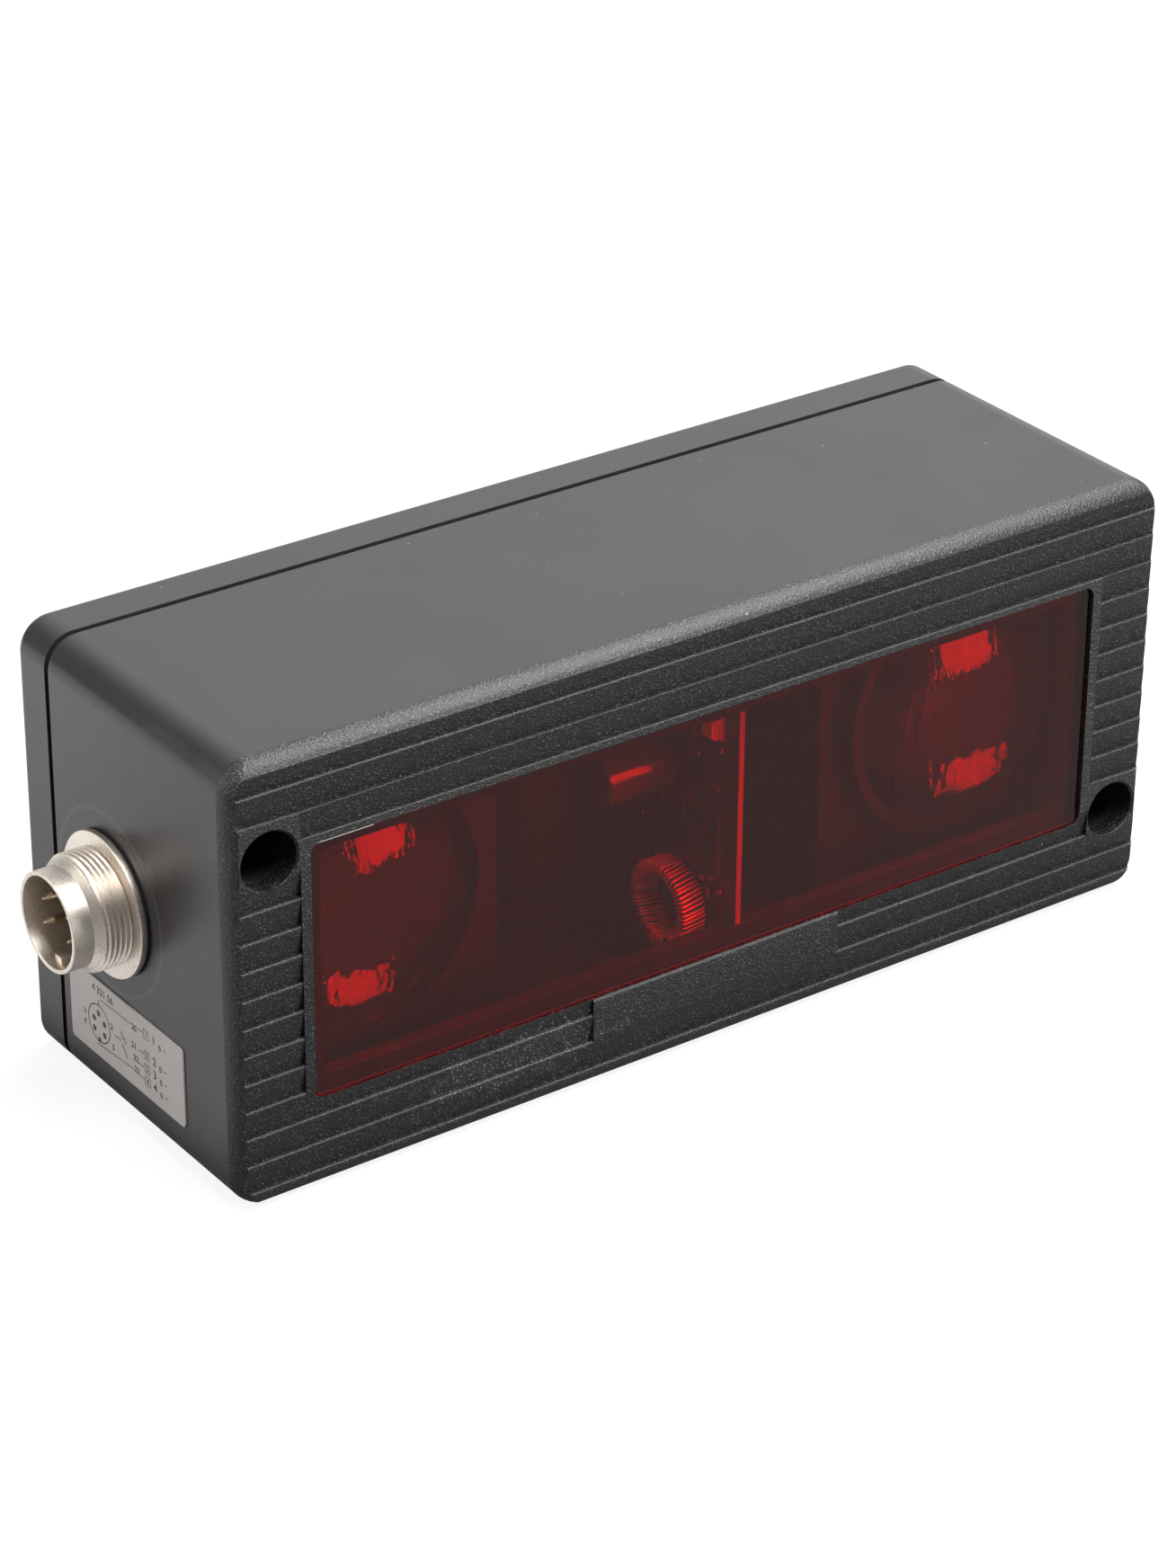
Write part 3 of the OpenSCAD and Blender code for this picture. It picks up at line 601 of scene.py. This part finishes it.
class SENSOR_OT_front_frame(bpy.types.Operator):
    """Front frame with softly moulded edges on its steps"""

    bl_idname = "sensor.front_frame"
    bl_label = "Front frame"

    SHORTEST = 3 * MM  # a step's edge is at least this long
    REACH = 0.3 * MM  # and starts no further than this behind the front

    def execute(self, context):
        bm = cad_copy("front_bezel")
        steps = [edge for edge in bm.edges if self.is_step(edge)]
        rounding = set(round_edges(bm, steps, context.scene.sensor_frame.step_edge, 4)["faces"])
        bmesh.ops.recalc_face_normals(bm, faces=bm.faces)
        crisp = {edge for edge in bm.edges if sum(face in rounding for face in edge.link_faces) == 1}
        material = grained_finish(context.scene.sensor_colours)
        piece = finished(bm, "front_frame", material, 27, crisp)
        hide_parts("front_bezel")
        return {"FINISHED"}

    def is_step(self, edge):
        """Whether the edge is the long front edge of a step: between a face that looks up and a slat."""
        if len(edge.link_faces) != 2 or edge.calc_length() < self.SHORTEST:
            return False
        start, end = (vert.co for vert in edge.verts)
        level = abs((end - start).normalized().x) > 0.99
        up, front = sorted((face.normal for face in edge.link_faces), key=lambda normal: -normal.z)
        stepped = up.z > 0.95 and front.y < -0.9 and edge.is_convex
        return level and stepped and start.y < FRONT_LOW[1] + self.REACH


class SENSOR_OT_window(bpy.types.Operator):
    """Filter window with a broken edge round its front, and a glint painted pale along its top left edge"""

    bl_idname = "sensor.window"
    bl_label = "Filter window"

    GLINT_DROP = 1.2 * MM  # how far the painted glint reaches down from the window's top
    # pale colour that paints a glint of light on the window's broken edge
    GLINT_COLOUR = (0.85, 0.8, 0.78)

    def execute(self, context):
        size = context.scene.sensor_frame
        bm = cad_copy("filter_window")
        front = min(vert.co.y for vert in bm.verts) + MERGE
        flush = [edge for edge in bm.edges if all(vert.co.y < front for vert in edge.verts)]
        rim = [edge for edge in flush if edge.calc_face_angle(0.0) > 1]
        round_edges(bm, rim, size.window_edge, 3)
        # cut the pane where the painted glint ends; the slanted faces of the broken edge near the top left
        # corner get a pale material that paints a glint
        glint_end = min(vert.co.x for vert in bm.verts) + size.glint_length
        glint_low = max(vert.co.z for vert in bm.verts) - self.GLINT_DROP
        bmesh.ops.bisect_plane(bm, geom=whole(bm), plane_co=(glint_end, 0, 0), plane_no=(1, 0, 0))
        for face in bm.faces:
            middle = face.calc_center_median()
            slanted = -0.999 < face.normal.y < -0.01
            face.material_index = int(slanted and middle.z > glint_low and middle.x < glint_end)
        material = filter_finish(context.scene.sensor_colours)
        pane = finished(bm, "window_pane", material, 28)
        # the second material paints the glint pale
        pane.data.materials.append(plain_finish("scuffed_edge", self.GLINT_COLOUR, 0.4, 0.3, 1.5 * MM))
        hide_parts("filter_window")
        return {"FINISHED"}


class SENSOR_OT_plug_shell(bpy.types.Operator):
    """Connector shell: a turned sleeve with flange and key, and a real thread"""

    bl_idname = "sensor.plug_shell"
    bl_label = "Connector shell"

    # places are distances out from the body's end, along the connector's axis
    FLANGE = (0.3 * MM, 1.2 * MM)
    THREAD_END = 4.9 * MM
    RUN_OUT, SLEEVE_START = 0.55 * MM, 1.3 * MM  # past the thread's end
    TAPER = 0.8  # slope of the thread's run-out
    KEY = (1.5 * MM, 7.9 * MM)  # the rib along the bottom of the bore
    # heights: the flange's rim above the crest, the rest below it, core and thread ends below the root
    RIM_STEP, SLEEVE_STEP, BORE_STEP, SHANK_STEP = 1.95 * MM, 1.15 * MM, 1.75 * MM, 0.5 * MM
    CREST_ROUND, CORE_STEP, SUNK = 0.03 * MM, 0.02 * MM, 0.15 * MM
    # the key's half width, depth in the sleeve's wall, height in the bore and edge
    KEY_HALF, KEY_DEEP, KEY_HIGH, KEY_EDGE = 0.8 * MM, 0.2 * MM, 1.0 * MM, 0.12 * MM

    def execute(self, context):
        size = context.scene.sensor_plug
        self.face = BODY_LOW[0]
        self.axis_at = Vector((0, PLUG_MIDDLE.y, PLUG_MIDDLE.z))
        flange_r = (PLUG_HIGH[1] - PLUG_LOW[1]) / 2
        out, inner = self.face - PLUG_LOW[0], self.face - PLUG_HIGH[0]
        crest = flange_r - self.RIM_STEP
        root = crest - size.depth
        core = root - self.CORE_STEP
        sleeve, bore, shank = crest - self.SLEEVE_STEP, crest - self.BORE_STEP, crest - self.SHANK_STEP
        near, far = self.FLANGE
        profile = [
            (inner, bore), (out, bore), (out, sleeve), (self.THREAD_END + self.SLEEVE_START, sleeve),
            (self.THREAD_END + self.RUN_OUT, core), (far, core), (far, flange_r), (near, flange_r),
            (near, shank), (inner, shank),
        ]
        bm = bmesh.new()
        chain = add_chain(bm, [self.at(a, r) for a, r in profile], closed=True)
        full_spin(bm, chain, self.axis_at, (-1, 0, 0), size.steps)
        bmesh.ops.remove_doubles(bm, verts=bm.verts, dist=MERGE)
        sharp = [e for e in bm.edges if len(e.link_faces) == 2 and e.calc_face_angle() > math.radians(35)]
        round_edges(bm, sharp, size.edge, 3, clamp=True)
        bmesh.ops.recalc_face_normals(bm, faces=bm.faces)
        self.add_thread(bm, size, crest, root)
        x, y, z = self.face, self.axis_at.y, self.axis_at.z - bore
        start, end = self.KEY
        low = (x - end, y - self.KEY_HALF, z - self.KEY_DEEP)
        add_block(bm, low, (x - start, y + self.KEY_HALF, z + self.KEY_HIGH), self.KEY_EDGE)
        material = nickel_finish(context.scene.sensor_colours)
        shell = finished(bm, "plug_shell", material, 30)
        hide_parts("connector_shell")
        return {"FINISHED"}

    def at(self, out, radius):
        """The point straight above the connector's axis, out from the body's end."""
        return Vector((self.face - out, self.axis_at.y, self.axis_at.z + radius))

    def spoke(self, vert):
        """Where the vertex lies across the axis, from the axis."""
        return Vector((0, vert.co.y - self.axis_at.y, vert.co.z - self.axis_at.z))

    def move_to(self, vert, spoke):
        """Moves the vertex across the axis to the spoke's end."""
        vert.co = Vector((vert.co.x, spoke.y + self.axis_at.y, spoke.z + self.axis_at.z))

    def add_thread(self, bm, size, crest, root):
        """One helical sleeve of thread, cut square at the flange and running out at the chamfer."""
        pitch, steps = size.pitch, size.steps
        start, end = self.FLANGE[1], self.THREAD_END
        run_out = end + self.RUN_OUT
        shoulder = crest - self.CREST_ROUND
        # share of the pitch and radius
        form = ((0.1, root), (0.44, shoulder), (0.48, crest), (0.62, crest), (0.66, shoulder))
        points = []
        for turn in range(-1, int((run_out - start) / pitch) + 2):
            a = start + turn * pitch
            points += [(a, root)] + [(a + share * pitch, radius) for share, radius in form]
        thread = bmesh.new()
        chain = add_chain(thread, [self.at(a, r) for a, r in points])
        bmesh.ops.spin(
            thread, geom=chain, cent=self.axis_at, axis=(-1, 0, 0), dvec=(-pitch / steps, 0, 0),
            angle=math.tau, steps=steps, use_merge=False)
        bmesh.ops.remove_doubles(thread, verts=thread.verts, dist=2 * MERGE)
        for out, side in ((start, 1), (run_out, -1)):
            bmesh.ops.bisect_plane(
                thread, geom=whole(thread), plane_co=(self.face - out, 0, 0), plane_no=(side, 0, 0),
                clear_outer=True)
        for vert in thread.verts:
            past_end = max(0.0, self.face - vert.co.x - end)
            limit = crest - past_end * self.TAPER
            spoke = self.spoke(vert)
            if spoke.length > limit:
                self.move_to(vert, spoke * (limit / spoke.length))
        rims = [edge for edge in thread.edges if len(edge.link_faces) == 1]
        for vert in verts_of(bmesh.ops.extrude_edge_only(thread, edges=rims)["geom"]):
            self.move_to(vert, self.spoke(vert).normalized() * (root - self.SUNK))
        bmesh.ops.recalc_face_normals(thread, faces=thread.faces)
        take_in(bm, to_mesh(thread, "thread"))


class SENSOR_OT_coil(bpy.types.Operator):
    """Ring coil: single turns of lacquered wire round the core"""

    bl_idname = "sensor.coil"
    bl_label = "Ring coil"

    SEED = 7
    GAP_AT = math.radians(205)  # middle of the stretch with no turns
    # how far a turn may stray: shares of the distance between turns, radians of lean, share of width
    UNEVEN, LEAN_PLAY, SWELL = 0.16, 0.05, 0.03
    CLEARANCE = 0.03 * MM  # between wire and core
    BEND = 0.12 * MM  # inner radius of the wire's bends

    def execute(self, context):
        size = context.scene.sensor_coil
        low, high = Vector(CORE_LOW), Vector(CORE_HIGH)
        centre = halfway(low, high)
        outer = (high.y - low.y) / 2
        inner = outer - size.core_wall
        half = (high.x - low.x) / 2
        bm = bmesh.new()
        self.add_turn(bm, centre, inner, outer, half, size.wire / 2)
        first = whole(bm)
        dice = random.Random(self.SEED)
        free = math.tau - size.gap
        start = self.GAP_AT + size.gap / 2
        for k in range(size.turns):
            made = verts_of(bmesh.ops.duplicate(bm, geom=first)["geom"])
            around = start + free * (k + 0.5 + dice.uniform(-self.UNEVEN, self.UNEVEN)) / size.turns
            tilt = size.lean + dice.uniform(-self.LEAN_PLAY, self.LEAN_PLAY)
            swell = Matrix.Diagonal((1 + dice.uniform(0, self.SWELL), 1, 1, 1))
            turned = Matrix.Rotation(-around, 4, "X") @ Matrix.Rotation(tilt, 4, "Z") @ swell
            place = Matrix.Translation(centre) @ turned @ Matrix.Translation(-centre)
            bmesh.ops.transform(bm, matrix=place, verts=made)
        bmesh.ops.delete(bm, geom=first, context="VERTS")
        material = plain_finish("copper", (1.0, 0.5, 0.3), 0.26, 0.1, 0.5 * MM, Metallic=0.55)
        coil = finished(bm, "coil_turns", material, 80)
        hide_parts("toroid_winding")
        return {"FINISHED"}

    def add_turn(self, bm, centre, inner, outer, half, wire):
        """One closed turn over the core, in the plane through the coil's axis and the vertical."""
        clear, bend = wire + self.CLEARANCE, wire + self.BEND
        bottom, top, side = inner - clear, outer + clear, half + clear
        facing = Matrix.Rotation(math.radians(90), 4, "Y")
        start = Matrix.Translation(centre + Vector((-side + bend, 0, top)))
        ring = edges_at(bmesh.ops.create_circle(bm, segments=7, radius=wire, matrix=start @ facing)["verts"])
        right, left = side - bend, -side + bend
        high, low = top - bend, bottom + bend
        across, down = 2 * (side - bend), top - bottom - 2 * bend
        # each straight run and the centre of the bend after it
        runs = (
            (Vector((across, 0, 0)), Vector((right, 0, high))),
            (Vector((0, 0, -down)), Vector((right, 0, low))),
            (Vector((-across, 0, 0)), Vector((left, 0, low))),
            (Vector((0, 0, down)), Vector((left, 0, high))),
        )
        for run, corner in runs:
            grown = bmesh.ops.extrude_edge_only(bm, edges=ring)["geom"]
            moved = verts_of(grown)
            bmesh.ops.translate(bm, verts=moved, vec=run)
            ring = [edge for edge in edges_of(grown) if all(vert in moved for vert in edge.verts)]
            turned = bmesh.ops.spin(
                bm, geom=ring, cent=centre + corner, axis=(0, 1, 0), angle=math.radians(90), steps=3,
                use_duplicate=False)
            ring = edges_of(turned["geom_last"])
        bmesh.ops.remove_doubles(bm, verts=bm.verts, dist=MERGE)
        bmesh.ops.recalc_face_normals(bm, faces=bm.faces)


class SENSOR_OT_board_parts(bpy.types.Operator):
    """Small parts and solder joints on the main board's left side"""

    bl_idname = "sensor.board_parts"
    bl_label = "Board parts"

    # depth behind the front, height from the middle, size in depth, size in height, thickness
    PARTS = (
        (8.5, 12.2, 2.0, 1.2, 0.5), (12.5, 9.2, 1.2, 2.0, 0.5), (9.0, -13.4, 2.0, 1.2, 0.6),
        (12.6, -1.2, 1.2, 2.0, 0.5), (18.5, -3.4, 2.0, 1.2, 0.5), (21.6, 12.0, 2.0, 1.2, 0.5),
        (7.2, 3.0, 1.2, 2.0, 0.5), (22.5, -14.0, 3.0, 2.6, 1.1),
    )
    # depth behind the front, height from the middle
    JOINTS = (
        (6.4, -12.6), (8.3, -11.2), (10.2, -12.0), (20.9, 4.4), (20.9, 1.0), (13.8, 11.6),
        (16.5, 12.4), (6.6, 8.6), (11.6, 6.0), (24.0, -8.5),
    )
    # the tinned cap on each end of a part: half its width, and how far it stands out all round
    CAP_HALF, CAP_PROUD = 0.25 * MM, 0.02 * MM
    CAP_AT = 0.86  # place of the cap's middle, in shares of the part's half length
    PART_EDGE, CAP_EDGE = 0.08 * MM, 0.05 * MM
    JOINT_R, JOINT_SQUASH = 0.55 * MM, 0.7

    def execute(self, context):
        bodies, caps = bmesh.new(), bmesh.new()
        for depth, height, *size in self.PARTS:
            self.add_part(bodies, caps, self.on_board(depth, height), [number * MM for number in size])
        for depth, height in self.JOINTS:
            drop = bmesh.ops.create_uvsphere(caps, u_segments=12, v_segments=6, radius=self.JOINT_R)["verts"]
            bmesh.ops.scale(caps, verts=drop, vec=(self.JOINT_SQUASH, 1, 1))
            bmesh.ops.translate(caps, verts=drop, vec=self.on_board(depth, height))
        chips = plain_finish("chip_ceramic", (0.10, 0.09, 0.085), 0.4)
        tin = plain_finish("tinned", (0.72, 0.70, 0.68), 0.25, 0.3, 0.4 * MM, Metallic=1.0)
        finished(bodies, "board_chips", chips)
        finished(caps, "board_solder", tin)
        return {"FINISHED"}

    def on_board(self, depth, height):
        """The point on the board's left face, from millimetres behind the front and above the middle."""
        return Vector((BOARD_LOW[0], FRONT_LOW[1] + depth * MM, MIDDLE.z + height * MM))

    def add_part(self, bodies, caps, at, size):
        """A small part lying flat on the board, with a tinned cap on each end of its longer side."""
        long, high, thick = size
        half = Vector((thick / 2, long / 2, high / 2))
        middle = at - Vector((thick / 2, 0, 0))
        add_block(bodies, middle - half, middle + half, self.PART_EDGE)
        axis = 1 if long > high else 2
        end, reach = Vector((0, 0, 0)), half + Vector((self.CAP_PROUD,) * 3)
        end[axis], reach[axis] = half[axis], self.CAP_HALF
        for side in (-1, 1):
            cap = middle + side * end * self.CAP_AT
            add_block(caps, cap - reach, cap + reach, self.CAP_EDGE)


class SENSOR_OT_label_print(bpy.types.Operator):
    """Printing on the wiring label: a plug's face with plain numbers and leads"""

    bl_idname = "sensor.label_print"
    bl_label = "Label print"

    # Places and sizes are in millimetres from the label's middle, towards the front and up.
    FACE, FACE_R, FACE_LINE = (-7.0, -0.7), 2.75, 0.2
    DOTS = ((-7.1, 0.8), (-8.25, -0.35), (-8.25, -1.9), (-5.65, -0.25), (-5.7, -1.95))
    DOT_R = 0.46
    # text, place, height
    NUMBERS = (
        ("4 321 56", (-5.8, 3.9), 1.5), ("1", (-6.9, 2.1), 1.1), ("3", (-10.6, -0.8), 1.2),
        ("4", (-10.7, -2.4), 1.2), ("2", (-3.7, 0.0), 1.3), ("5", (-3.5, -3.0), 1.2),
        ("20", (2.1, 2.8), 1.3), ("21", (1.9, 0.0), 1.3), ("22", (2.3, -1.8), 1.3), ("23", (2.4, -3.5), 1.3),
    )
    # ends and width: three leads, the key of the plug's face, two switch marks
    LINES = (
        ((-6.4, 3.2), (1.4, 3.4), 0.14), ((-3.0, -0.5), (-1.2, -0.4), 0.14),
        ((-7.7, -4.0), (1.6, -3.3), 0.14), ((-7.4, -3.2), (-6.7, -3.2), 0.7),
        ((-1.3, 1.0), (-0.9, 0.2), 0.2), ((-1.0, 0.3), (-0.4, 0.1), 0.2),
        ((-0.5, 0.2), (-0.2, -0.5), 0.2), ((-1.1, -0.9), (-0.7, -1.6), 0.2),
        ((-0.8, -1.5), (-0.3, -1.7), 0.2), ((-0.4, -1.6), (-0.1, -2.6), 0.2),
    )
    # the rows of boxed numbers of the leads, from the top: number, height of the row
    ROWS = (("1", 3.6), ("2", 0.4), ("3", -1.6), ("4", -3.5))
    BOX_AT, BOX_SIZE, BOX_LINE = 5.1, 1.3, 0.12
    PROUD = 0.01 * MM  # how far the print lies outside the label
    BOLD = 0.035 * MM  # how much the numerals' strokes are thickened

    def execute(self, context):
        self.bm = bmesh.new()
        y, z = ((LABEL_LOW[axis] + LABEL_HIGH[axis]) / 2 for axis in (1, 2))
        self.middle = Vector((LABEL_LOW[0] - self.PROUD, y, z))
        self.add_ring(self.FACE, self.FACE_R, self.FACE_LINE)
        for place in self.DOTS:
            self.add_dot(place, self.DOT_R)
        for a, b, width in self.LINES:
            self.add_line(a, b, width)
        for text, place, height in self.NUMBERS:
            self.add_text(text, place, height)
        for number, v in self.ROWS:
            self.add_line((3.0, v), (4.3, v), 0.14)
            self.add_box((self.BOX_AT, v), self.BOX_SIZE, self.BOX_LINE)
            self.add_text(number, (self.BOX_AT, v - 0.36), 1.1)
            self.add_text(number, (7.0, v - 0.5), 1.7)
            self.add_text("0", (8.5, v - 0.75), 1.2)
            self.add_line((9.4, v - 0.2), (10.0, v - 0.2), 0.16)
        ink = plain_finish("label_ink", context.scene.sensor_colours.print, 0.45)
        finished(self.bm, "label_print", ink)
        return {"FINISHED"}

    def on_label(self, place):
        """The point at a place on the label."""
        u, v = place
        return self.middle + Vector((0, -u, v)) * MM

    def add_line(self, a, b, width):
        """A flat bar from a to b."""
        start, end = self.on_label(a), self.on_label(b)
        out = Vector((-1, 0, 0))
        side = out.cross(end - start).normalized() * width * MM
        turn = Matrix((end - start, side, out)).transposed().to_4x4()
        place = Matrix.Translation((start + end) / 2) @ turn
        bmesh.ops.create_grid(self.bm, x_segments=1, y_segments=1, size=0.5, matrix=place)

    def add_box(self, place, size, width):
        """The outline of a small square."""
        (u, v), h = place, size / 2
        corners = ((u - h, v - h), (u + h, v - h), (u + h, v + h), (u - h, v + h))
        for a, b in zip(corners, corners[1:] + corners[:1]):
            self.add_line(a, b, width)

    def add_dot(self, place, radius):
        """A filled round dot."""
        turn = Matrix.Translation(self.on_label(place)) @ Matrix.Rotation(math.radians(-90), 4, "Y")
        bmesh.ops.create_circle(self.bm, cap_ends=True, segments=20, radius=radius * MM, matrix=turn)

    def add_ring(self, place, radius, width):
        """A thin ring."""
        at = self.on_label(place)
        rims = [at + Vector((0, 0, (radius + side * width / 2) * MM)) for side in (-1, 1)]
        chain = add_chain(self.bm, rims)
        full_spin(self.bm, chain, at, (1, 0, 0), 48)

    def add_text(self, text, place, height):
        """Plain numerals, made a mesh before they are placed."""
        curve = bpy.data.curves.new("numeral", "FONT")
        curve.body = text
        curve.size = height * MM
        curve.align_x = "CENTER"
        curve.resolution_u = 3
        curve.offset = self.BOLD
        letter = add_object("numeral", curve)
        bpy.context.view_layer.update()
        mesh = bpy.data.meshes.new_from_object(letter.evaluated_get(bpy.context.evaluated_depsgraph_get()))
        bpy.data.objects.remove(letter)
        facing_left = Matrix(((0, 0, -1, 0), (-1, 0, 0, 0), (0, 1, 0, 0), (0, 0, 0, 1)))
        mesh.transform(Matrix.Translation(self.on_label(place)) @ facing_left)
        take_in(self.bm, mesh)
        bpy.data.curves.remove(curve)


class SENSOR_OT_finishes(bpy.types.Operator):
    """Materials of the CAD pieces"""

    bl_idname = "sensor.finishes"
    bl_label = "Finishes"

    def execute(self, context):
        colours = context.scene.sensor_colours
        given = (
            (body_finish(colours), ("housing", "rear_cover")),
            (plain_finish("seal_rubber", (0.014, 0.014, 0.014), 0.6),
             ("window_seal", "rear_seal", "connector_gasket")),
            (plain_finish("plain_steel", (0.55, 0.54, 0.53), 0.32, 0.3, 0.5 * MM, Metallic=1.0),
             ("cover_screws", "barrel_screws", "capacitor_leads", "driver_leads")),
            (plain_finish("can_tin", (0.9, 0.88, 0.86), 0.5, 0.2, Metallic=0.5), ("crystal_can",)),
            (nickel_finish(colours, "nut_nickel"), ("connector_nut",)),
            (plain_finish("insulator", (0.03, 0.024, 0.02), 0.5), ("connector_insert",)),
            (plain_finish("gold", (0.74, 0.60, 0.44), 0.26, 0.35, 0.4 * MM, Metallic=1.0),
             ("connector_pins",)),
            (plain_finish("wire_sleeve", (0.5, 0.47, 0.42), 0.4), ("connector_wires",)),
            (plain_finish("header_plastic", (0.65, 0.62, 0.55), 0.4), ("wire_header",)),
            (label_finish(colours), ("wiring_label",)),
            (lens_finish(), ("emitter_lens", "receiver_lens")),
            (plain_finish("barrel_plastic", (0.005, 0.005, 0.005), 0.45, Specular_IOR_Level=0.25),
             ("emitter_barrel", "receiver_barrel")),
            (plain_finish("diode_body", (0.05, 0.03, 0.05), 0.12, 0.2), ("emitter_diode", "receiver_diode")),
            (board_finish(), ("emitter_board", "receiver_board", "main_board")),
            (plain_finish("ferrite", (0.012, 0.012, 0.013), 0.5), ("toroid_core",)),
            (plain_finish("capacitor_sleeve", (0.035, 0.03, 0.055), 0.16, 0.2), ("capacitor",)),
            (plain_finish("chip_plastic", (0.02, 0.02, 0.022), 0.35),
             ("driver_module", "logic_chip", "output_relay")),
        )
        for material, nodes in given:
            for node in nodes:
                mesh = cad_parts[node].data
                mesh.materials.clear()
                mesh.materials.append(material)
        return {"FINISHED"}


class SENSOR_OT_stage(bpy.types.Operator):
    """Floor, surroundings, lamps and camera"""

    bl_idname = "sensor.stage"
    bl_label = "Stage"

    WHITE = (1, 1, 1)
    # name, place, what it is aimed at, width and length, colour
    LAMPS = (
        ("softbox", (-0.02, -0.25, 0.66), (-0.03, 0, 0.03), (0.36, 0.34), (1.0, 0.985, 0.97)),
        ("top_lamp", (0.36, -0.01, 0.60), (0, 0, 0.03), (0.58, 0.34), (1.0, 0.99, 0.98)),
        ("front_lamp", (0.40, -0.71, 0.17), (0, -0.025, 0.03), (0.46, 0.32), (1.0, 0.99, 0.98)),
        ("side_lamp", (-0.60, 0.25, 0.30), (-0.07, 0, 0.035), (0.30, 0.30), (1.0, 0.95, 0.90)),
    )
    FLOOR_HALF = 3.0
    FLOOR_GREY = (0.12, 0.12, 0.12)
    FLOOR_SEEN = 0.88  # how much the floor glows to the camera, which makes it white

    def execute(self, context):
        scene = context.scene
        size = scene.sensor_stage
        scene.view_settings.view_transform = "Standard"
        self.make_floor()
        self.make_world(scene, size.sky)
        for lamp in self.LAMPS:
            self.make_lamp(size, *lamp)
        self.make_camera(scene, size)
        return {"FINISHED"}

    def make_floor(self):
        """White to the camera. Reflections see it bright behind the object and left of it."""
        bm = bmesh.new()
        bmesh.ops.create_grid(bm, x_segments=1, y_segments=1, size=self.FLOOR_HALF)
        floor = add_object("floor", to_mesh(bm, "floor"))
        f = Finish("floor_pale", Base_Color=self.FLOOR_GREY, Roughness=0.9, Specular_IOR_Level=0.0)
        path = f.add("LightPath").outputs
        mirrored = f.math("MAXIMUM", path["Is Glossy Ray"], path["Is Transmission Ray"])
        at = f.parts_of(f.place())
        beside = f.spread(at["X"], BODY_LOW[0], BODY_LOW[0] - 10 * MM)
        left = f.times(beside, f.spread(at["Y"], -26 * MM, -4 * MM))
        behind = f.spread(at["Y"], 60 * MM, 120 * MM, 0.08, 0.36)
        level = f.plus(behind, f.times(left, 0.6))
        seen = f.math("MAXIMUM", f.times(path["Is Camera Ray"], self.FLOOR_SEEN), f.times(mirrored, level))
        glow = f.add("Emission", {"Color": self.WHITE, "Strength": seen}).outputs[0]
        both = f.add("AddShader", {0: f.shader.outputs[0], 1: glow}).outputs[0]
        f.set(f.output.inputs["Surface"], both)
        floor.data.materials.append(f.material)

    def make_world(self, scene, strength):
        """White to the camera, and to reflections bright only behind the object on the right."""
        world = bpy.data.worlds.new("pale_room")
        world.use_nodes = True
        scene.world = world
        work = Tree(world.node_tree)
        seen = work.add("LightPath").outputs["Is Camera Ray"]
        towards = work.parts_of(work.add("TexCoord").outputs["Generated"])
        right = work.spread(towards["X"], -0.45, 0.3)
        behind = work.spread(towards["Y"], -0.2, 0.5)
        level = work.plus(strength, work.times(work.times(right, behind), 1.0 - strength))
        back = world.node_tree.nodes["Background"]
        work.set(back.inputs["Color"], self.WHITE)
        work.set(back.inputs["Strength"], work.plus(level, seen, clamp=True))

    def make_lamp(self, size, name, at, aim, area, tint):
        lamp = bpy.data.lights.new(name, "AREA")
        lamp.shape = "RECTANGLE"
        lamp.size, lamp.size_y = area
        lamp.energy = getattr(size, name)
        lamp.color = tint
        holder = add_object(name, lamp)
        look = (Vector(aim) - Vector(at)).to_track_quat("-Z", "Y")
        holder.matrix_world = Matrix.Translation(at) @ look.to_matrix().to_4x4()

    def make_camera(self, scene, size):
        az, el, roll = size.azimuth, size.elevation, size.roll
        back = Vector((math.sin(az) * math.cos(el), -math.cos(az) * math.cos(el), math.sin(el)))
        right = Vector((math.cos(az), math.sin(az), 0.0))
        up = back.cross(right)
        across = math.cos(roll) * right + math.sin(roll) * up
        upward = -math.sin(roll) * right + math.cos(roll) * up
        turn = Matrix((across, upward, back)).transposed().to_4x4()
        data = bpy.data.cameras.new("camera")
        data.sensor_fit = "AUTO"
        data.sensor_width = 36.0
        data.lens = size.lens
        data.clip_start = 10 * MM
        camera = add_object("camera", data)
        camera.matrix_world = Matrix.Translation(size.camera_at) @ turn
        scene.camera = camera


class SENSOR_PT_sidebar(bpy.types.Panel):
    """Lists the sensor's pieces and their settings."""

    bl_idname = "SENSOR_PT_sidebar"
    bl_label = "Photoelectric sensor"
    bl_space_type = "VIEW_3D"
    bl_region_type = "UI"
    bl_category = "Sensor"

    def draw(self, context):
        for name, group in GROUPS:
            box = self.layout.box()
            box.label(text=group.__doc__)
            for setting in group.__annotations__:
                box.prop(getattr(context.scene, name), setting)
        for operator in OPERATORS:
            self.layout.operator(operator.bl_idname)


OPERATORS = (
    SENSOR_OT_stage,
    SENSOR_OT_finishes,
    SENSOR_OT_front_frame,
    SENSOR_OT_window,
    SENSOR_OT_plug_shell,
    SENSOR_OT_coil,
    SENSOR_OT_board_parts,
    SENSOR_OT_label_print,
)


def register():
    for name, group in GROUPS:
        bpy.utils.register_class(group)
        setattr(bpy.types.Scene, name, bpy.props.PointerProperty(type=group))
    for cls in OPERATORS + (SENSOR_PT_sidebar,):
        bpy.utils.register_class(cls)


def unregister():
    for cls in reversed(OPERATORS + (SENSOR_PT_sidebar,)):
        bpy.utils.unregister_class(cls)
    for name, group in reversed(GROUPS):
        delattr(bpy.types.Scene, name)
        bpy.utils.unregister_class(group)


def main():
    register()
    make_effects()
    bpy.ops.sensor.stage()
    bpy.ops.sensor.finishes()
    bpy.ops.sensor.front_frame()
    bpy.ops.sensor.window()
    bpy.ops.sensor.plug_shell()
    bpy.ops.sensor.coil()
    bpy.ops.sensor.board_parts()
    bpy.ops.sensor.label_print()


if __name__ == "__main__":
    main()
